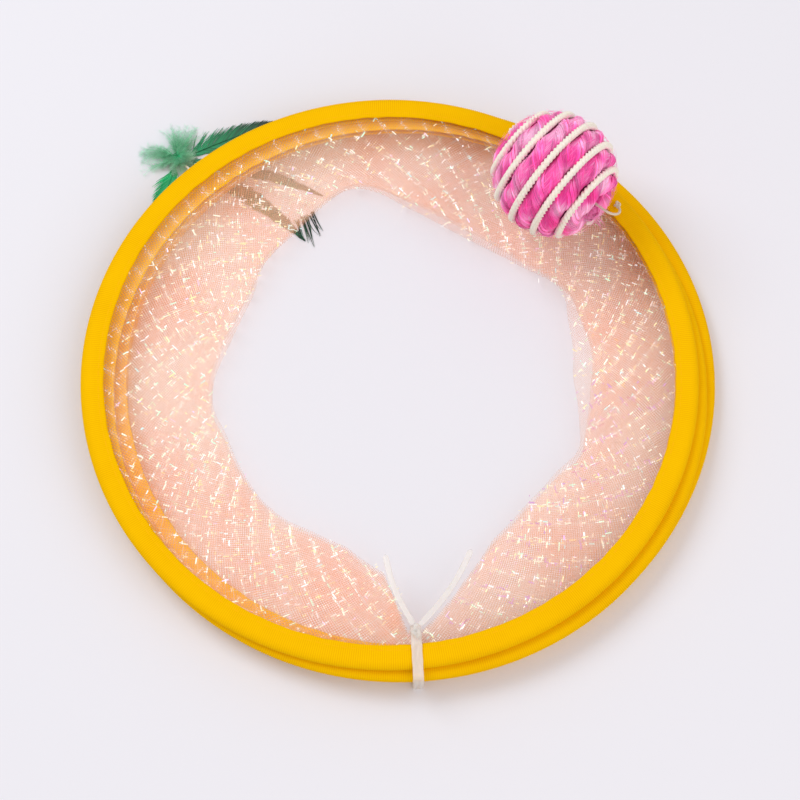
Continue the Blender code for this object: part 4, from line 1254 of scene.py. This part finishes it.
def make_feather(name, angle, share, left, right, bend, hues, low, high, seed, wild=False, tips=()):
    """A feather from its heading, length and widths. Its barbs are even, but loose near the foot on the left or,
    where it is wild, on both sides. tips are single barbs from one flat point to another."""
    pick = np.random.default_rng(seed)
    length = longest * share
    count = int(length / barb_pitch)
    foot, tip = (np.array(linear(c)[:3]) for c in hues)
    grids = []
    for side, wide in ((1, left), (-1, right)):
        at = np.linspace(0.03, 0.995, count) + pick.normal(0, 0.002, count)
        spot, turn = quill_line(angle, length, bend, at)
        reach = longest * wide * vane_reach(at) * pick.uniform(0.88, 1.06, count) / np.sin(np.radians(barb_slant))
        parted = drift(at * 2 * np.pi, (4, 7, 11), seed + side)
        loose = np.clip(1.4 - 3.6 * at, 0, 1) if side > 0 or wild else 0 * at
        reach = reach * (1 + 0.35 * loose * pick.uniform(-0.6, 1, count))
        slant = 40 + 5 * parted + pick.normal(0, 1.2, count) - 12 * at + 11 * loose * pick.normal(0, 1, count)
        step = np.linspace(0, 1, 8)
        way = turn[:, None] + side * (slant[:, None] * (1 - 0.45 * step[None]))
        moves = heading(way[:, :-1]) * (reach / 7)[:, None, None]
        line = spot[:, None] + np.concatenate((np.zeros((count, 1, 3)), np.cumsum(moves, 1)), 1)
        lift = low + (high - low) * pick.uniform(0, 1, count)[:, None] * step[None] ** 1.5
        line[..., 2] = lift + 0.05
        wide_at = (0.21 * (1 - 0.75 * step**2))[None, :, None]
        across = heading(way + 90) * wide_at
        points = np.stack((line - across, line + across), 2)
        mix = at[:, None] * 1.15 + 0.25 * step[None] * (side > 0) - 0.12 + 0.12 * pick.normal(0, 1, (count, 1))
        shade = foot + (tip - foot) * np.clip(mix, 0, 1)[..., None]
        shade = shade * pick.uniform(0.75, 1.3, (count, 1, 1))
        grids.append(grid(points, tint=np.repeat(shade[:, :, None], 2, 2)))
    if tips:
        ends = np.repeat(np.array(tips), 3, 0) + pick.normal(0, 0.35, (3 * len(tips), 2, 2))
        step = np.linspace(0, 1, 8)[None, :, None]
        line = ends[:, :1] + (ends[:, 1:] - ends[:, :1]) * step
        aside = unit(ends[:, 1:] - ends[:, :1])[..., ::-1] * (1, -1)
        line = line + aside * step * (1 - step) * pick.normal(0, 1.6, (len(ends), 1, 1))
        height = 0 * line[..., :1] + 0.3
        wide_at = aside * 0.2 * (1 - 0.85 * step**2)
        rims = [np.concatenate((line + way * wide_at, height), -1) for way in (-1, 1)]
        shade = tip * pick.uniform(0.8, 2.6, (len(ends), 1, 1, 1)) + 0 * step[..., None]
        grids.append(grid(np.stack(rims, 2), tint=np.broadcast_to(shade, (len(ends), 8, 2, 3))))
    step = np.linspace(0, 1, 40)
    spot, _ = quill_line(angle, length, bend, step)
    spot[:, 2] = 0.22 + low
    shade = np.broadcast_to((foot + tip) / 2, (40, 6, 3))
    grids.append(tube(spot, shut_ends(0.2 * (1 - 0.8 * step), 40), 6, tint=shade))
    return build(name, grids, [dyed_feather])


feathers = {
    "feather_long": (27.0, 0.57, 0.098, 0.060, -5.7, ("#0E9A62", "#20352C"), 0.0, 0.35),
    "feather_upper": (-6.0, 0.84, 0.064, 0.052, -20.0, ("#139763", "#17352B"), 0.0, 0.3),
    "feather_lower": (-24.0, 0.88, 0.070, 0.078, -23.0, ("#1C8A5C", "#1B4534"), 0.0, 0.3),
    "feather_side": (-108.0, 0.40, 0.098, 0.080, 7.0, ("#06B870", "#0B9A60"), 0.0, 0.55),
}
more = {
    "feather_side": {"wild": True},
    "feather_lower": {
        "tips": [
            [(-43.4, 73.9), (-41.2, 65.5)], [(-42.2, 74.8), (-40.4, 66.0)], [(-41.4, 75.7), (-37.9, 64.2)],
            [(-40.6, 75.7), (-35.8, 61.9)], [(-39.3, 76.2), (-36.7, 65.5)],
        ]
    },
    "feather_upper": {
        "tips": [[(-38.1, 76.7), (-34.2, 67.8)], [(-37.3, 77.6), (-33.4, 66.9)], [(-36.5, 78.1), (-32.6, 69.2)]]
    },
}
for order, (node, facts) in enumerate(feathers.items()):
    vane = make_feather(f"{node}_vane", *facts, seed=100 + order, **more.get(node, {}))
    place(vane, "feather_lure", "dark_feather" if facts[4] < 0 else "light_feather", node)

# %% [markdown]
# The down at the foot is many fine, curved plumes with still finer hairs along them. They are bright where they
# crowd at the root and pale where they thin out.


# %% The down
def plumes(count, clumps, spread, reach, height, top, seed):
    """Curved plumes from the root: a heading near one of the clumps, a length and a curl each. They start at the
    top height, rise a little and droop onto the table."""
    pick = np.random.default_rng(seed)
    angle = pick.choice(clumps, count) + pick.normal(0, spread, count)
    long = reach * pick.uniform(0.35, 1.0, count) ** 0.7
    curl = pick.normal(0, 26, count)
    step = np.linspace(0, 1, 9)
    way = angle[:, None] + curl[:, None] * step
    moves = heading(way[:, :-1]) * (long / 8)[:, None, None]
    start = lure_root + heading(angle) * (pick.uniform(0, 1, (count, 1)) + (0.2 if top else 1.8))
    line = start[:, None] + np.concatenate((np.zeros((count, 1, 3)), np.cumsum(moves, 1)), 1)
    rise = pick.uniform(0.1, 1.0, count)[:, None] * height
    line[..., 2] = 0.25 + top * (1 - step**1.5) + rise * np.sin(np.pi * (0.12 + 0.88 * step) ** 0.8)
    return line, way, long


root_green, pale_green = (np.array(linear(c)[:3]) for c in ("#10BC78", "#C6F6DE"))


def make_down(name, count, clumps, spread, reach, height, top, seed):
    """A tuft of plumes, with fine hairs that leave each at a slant. Both are bright at the root and pale outside."""
    pick = np.random.default_rng(seed + 1)
    line, way, long = plumes(count, clumps, spread, reach, height, top, seed)
    step = np.linspace(0, 1, 9)
    shade = root_green + (pale_green - root_green) * (step**1.3)[None, :, None]
    shade = shade * pick.uniform(0.8, 1.35, (count, 1, 1))
    radius = 0.10 * (1 - 0.75 * step)[None] * pick.uniform(0.7, 1.2, (count, 1))
    grids = [strands(line, radius, tint=np.repeat(shade[:, :, None], 3, 2))]
    hairs = 34  # On each plume
    at = pick.uniform(0.05, 0.97, (count, hairs))
    cell = np.minimum((at * 8).astype(int), 7)
    within = (at * 8 - cell)[..., None]
    rows = np.arange(count)[:, None]
    base = line[rows, cell] * (1 - within) + line[rows, cell + 1] * within
    turn = way[rows, cell] + pick.choice((-1, 1), (count, hairs)) * pick.uniform(25, 62, (count, hairs))
    size = pick.uniform(1.0, 3.6, (count, hairs)) * (1 - 0.5 * at)
    along = np.linspace(0, 1, 4)[None, None, :, None]
    path = base[:, :, None] + heading(turn)[:, :, None] * size[..., None, None] * along
    path[..., 2] += pick.normal(0, 0.35, (count, hairs))[..., None] * along[..., 0]
    path[..., 2] = np.maximum(path[..., 2], 0.08)
    path = path.reshape(-1, 4, 3)
    radius = np.broadcast_to(np.array((0.05, 0.045, 0.035, 0.015)), path.shape[:2])
    tone = root_green + (pale_green - root_green) * np.clip(at[..., None] + 0.1, 0, 1)
    tone = tone * pick.uniform(0.85, 1.3, (count, 1, 1))
    tone = np.broadcast_to(tone.reshape(-1, 1, 1, 3), (len(path), 4, 3, 3))
    grids.append(strands(path, radius, tint=tone))
    return build(name, grids, [dyed_feather])


outer_ways = (60, 66, 88, 96, 104, 158, 168, 172, 206)
outer = make_down("feather_down_plumes", 84, outer_ways, 7.0, 15.5, 4.0, 0.0, 31)
place(outer, "feather_lure", "light_feather", "feather_down")
core_ways = (-70, -50, -30, -10, 10, 35, 60, 95, 150, 200, 235, 265)
core = make_down("feather_down_core", 62, core_ways, 11.0, 8.0, 1.6, 3.0, 33)
place(core, "feather_lure", "light_feather")

# %% [markdown]
# The quills are bound with a few tight turns of green thread, and a short cord ties them to the lowest hoop.

# %% The binding, the cord and its knot
wraps, wrap_radius = 7, 2.3
turn = np.linspace(0, 2 * np.pi * wraps, wraps * 22)
wrap = ringed(wrap_radius, turn, 0.35 + 2.3 * turn / turn[-1]) + lure_root
profile = np.array([
    (closed_end, 0.1), (1.6, 0.12), (2.25, 0.35), (2.35, 1.5), (2.2, 2.65), (1.5, 2.95), (closed_end, 3.0),
])
body = ringed(profile[:, :1], np.linspace(0, 2 * np.pi, 24, endpoint=False), profile[:, 1:]) + lure_root
green = np.array(linear("#0C8F5A")[:3])
wound_thread = tube(wrap, shut_ends(0.26, len(wrap)), 8, tint=np.broadcast_to(green, (len(wrap), 8, 3)))
under_it = grid(body, ring=(False, True), tint=np.broadcast_to(green, body.shape), flip=True)
binding = build("feather_thread_binding", [wound_thread, under_it], [dyed_feather], weld=True)
place(binding, "feather_lure", "light_feather", "lure_binding")
lure_anchor = np.array((-82.74, 91.48, half_tape))
outward = heading(lure_angle)
step = np.linspace(0, 1, 40)[:, None]
first, final = lure_anchor + outward * 1.5, lure_anchor + outward * 12.5
line = first + (final - first) * step
cord_end_height = 1.65
line[:, 2] = half_tape + (cord_end_height - half_tape) * (step * step * (3 - 2 * step))[:, 0]
print(f"feathers' cord {far_along(line)[-1]:.1f} mm")
leash = tube(line, shut_ends(thin_cord, len(line)), 12, lobes=2, lobe_share=0.14, lay=-2.4)
leash = build("lure_twisted_cord", [leash], [cotton_cord], weld=True)
place(leash, "feather_lure", "elastic", "lure_cord")
tied = knotted("lure_cord_knot", lure_anchor, (2.4, 2.4, 2.4), 0.42, cotton_cord, 30)
place(tied, "hoop_4", "elastic", "lure_anchor_knot")

# %% [markdown]
# Last, the view layer is brought up to date.

# %% Bring the scene up to date
bpy.context.view_layer.update()
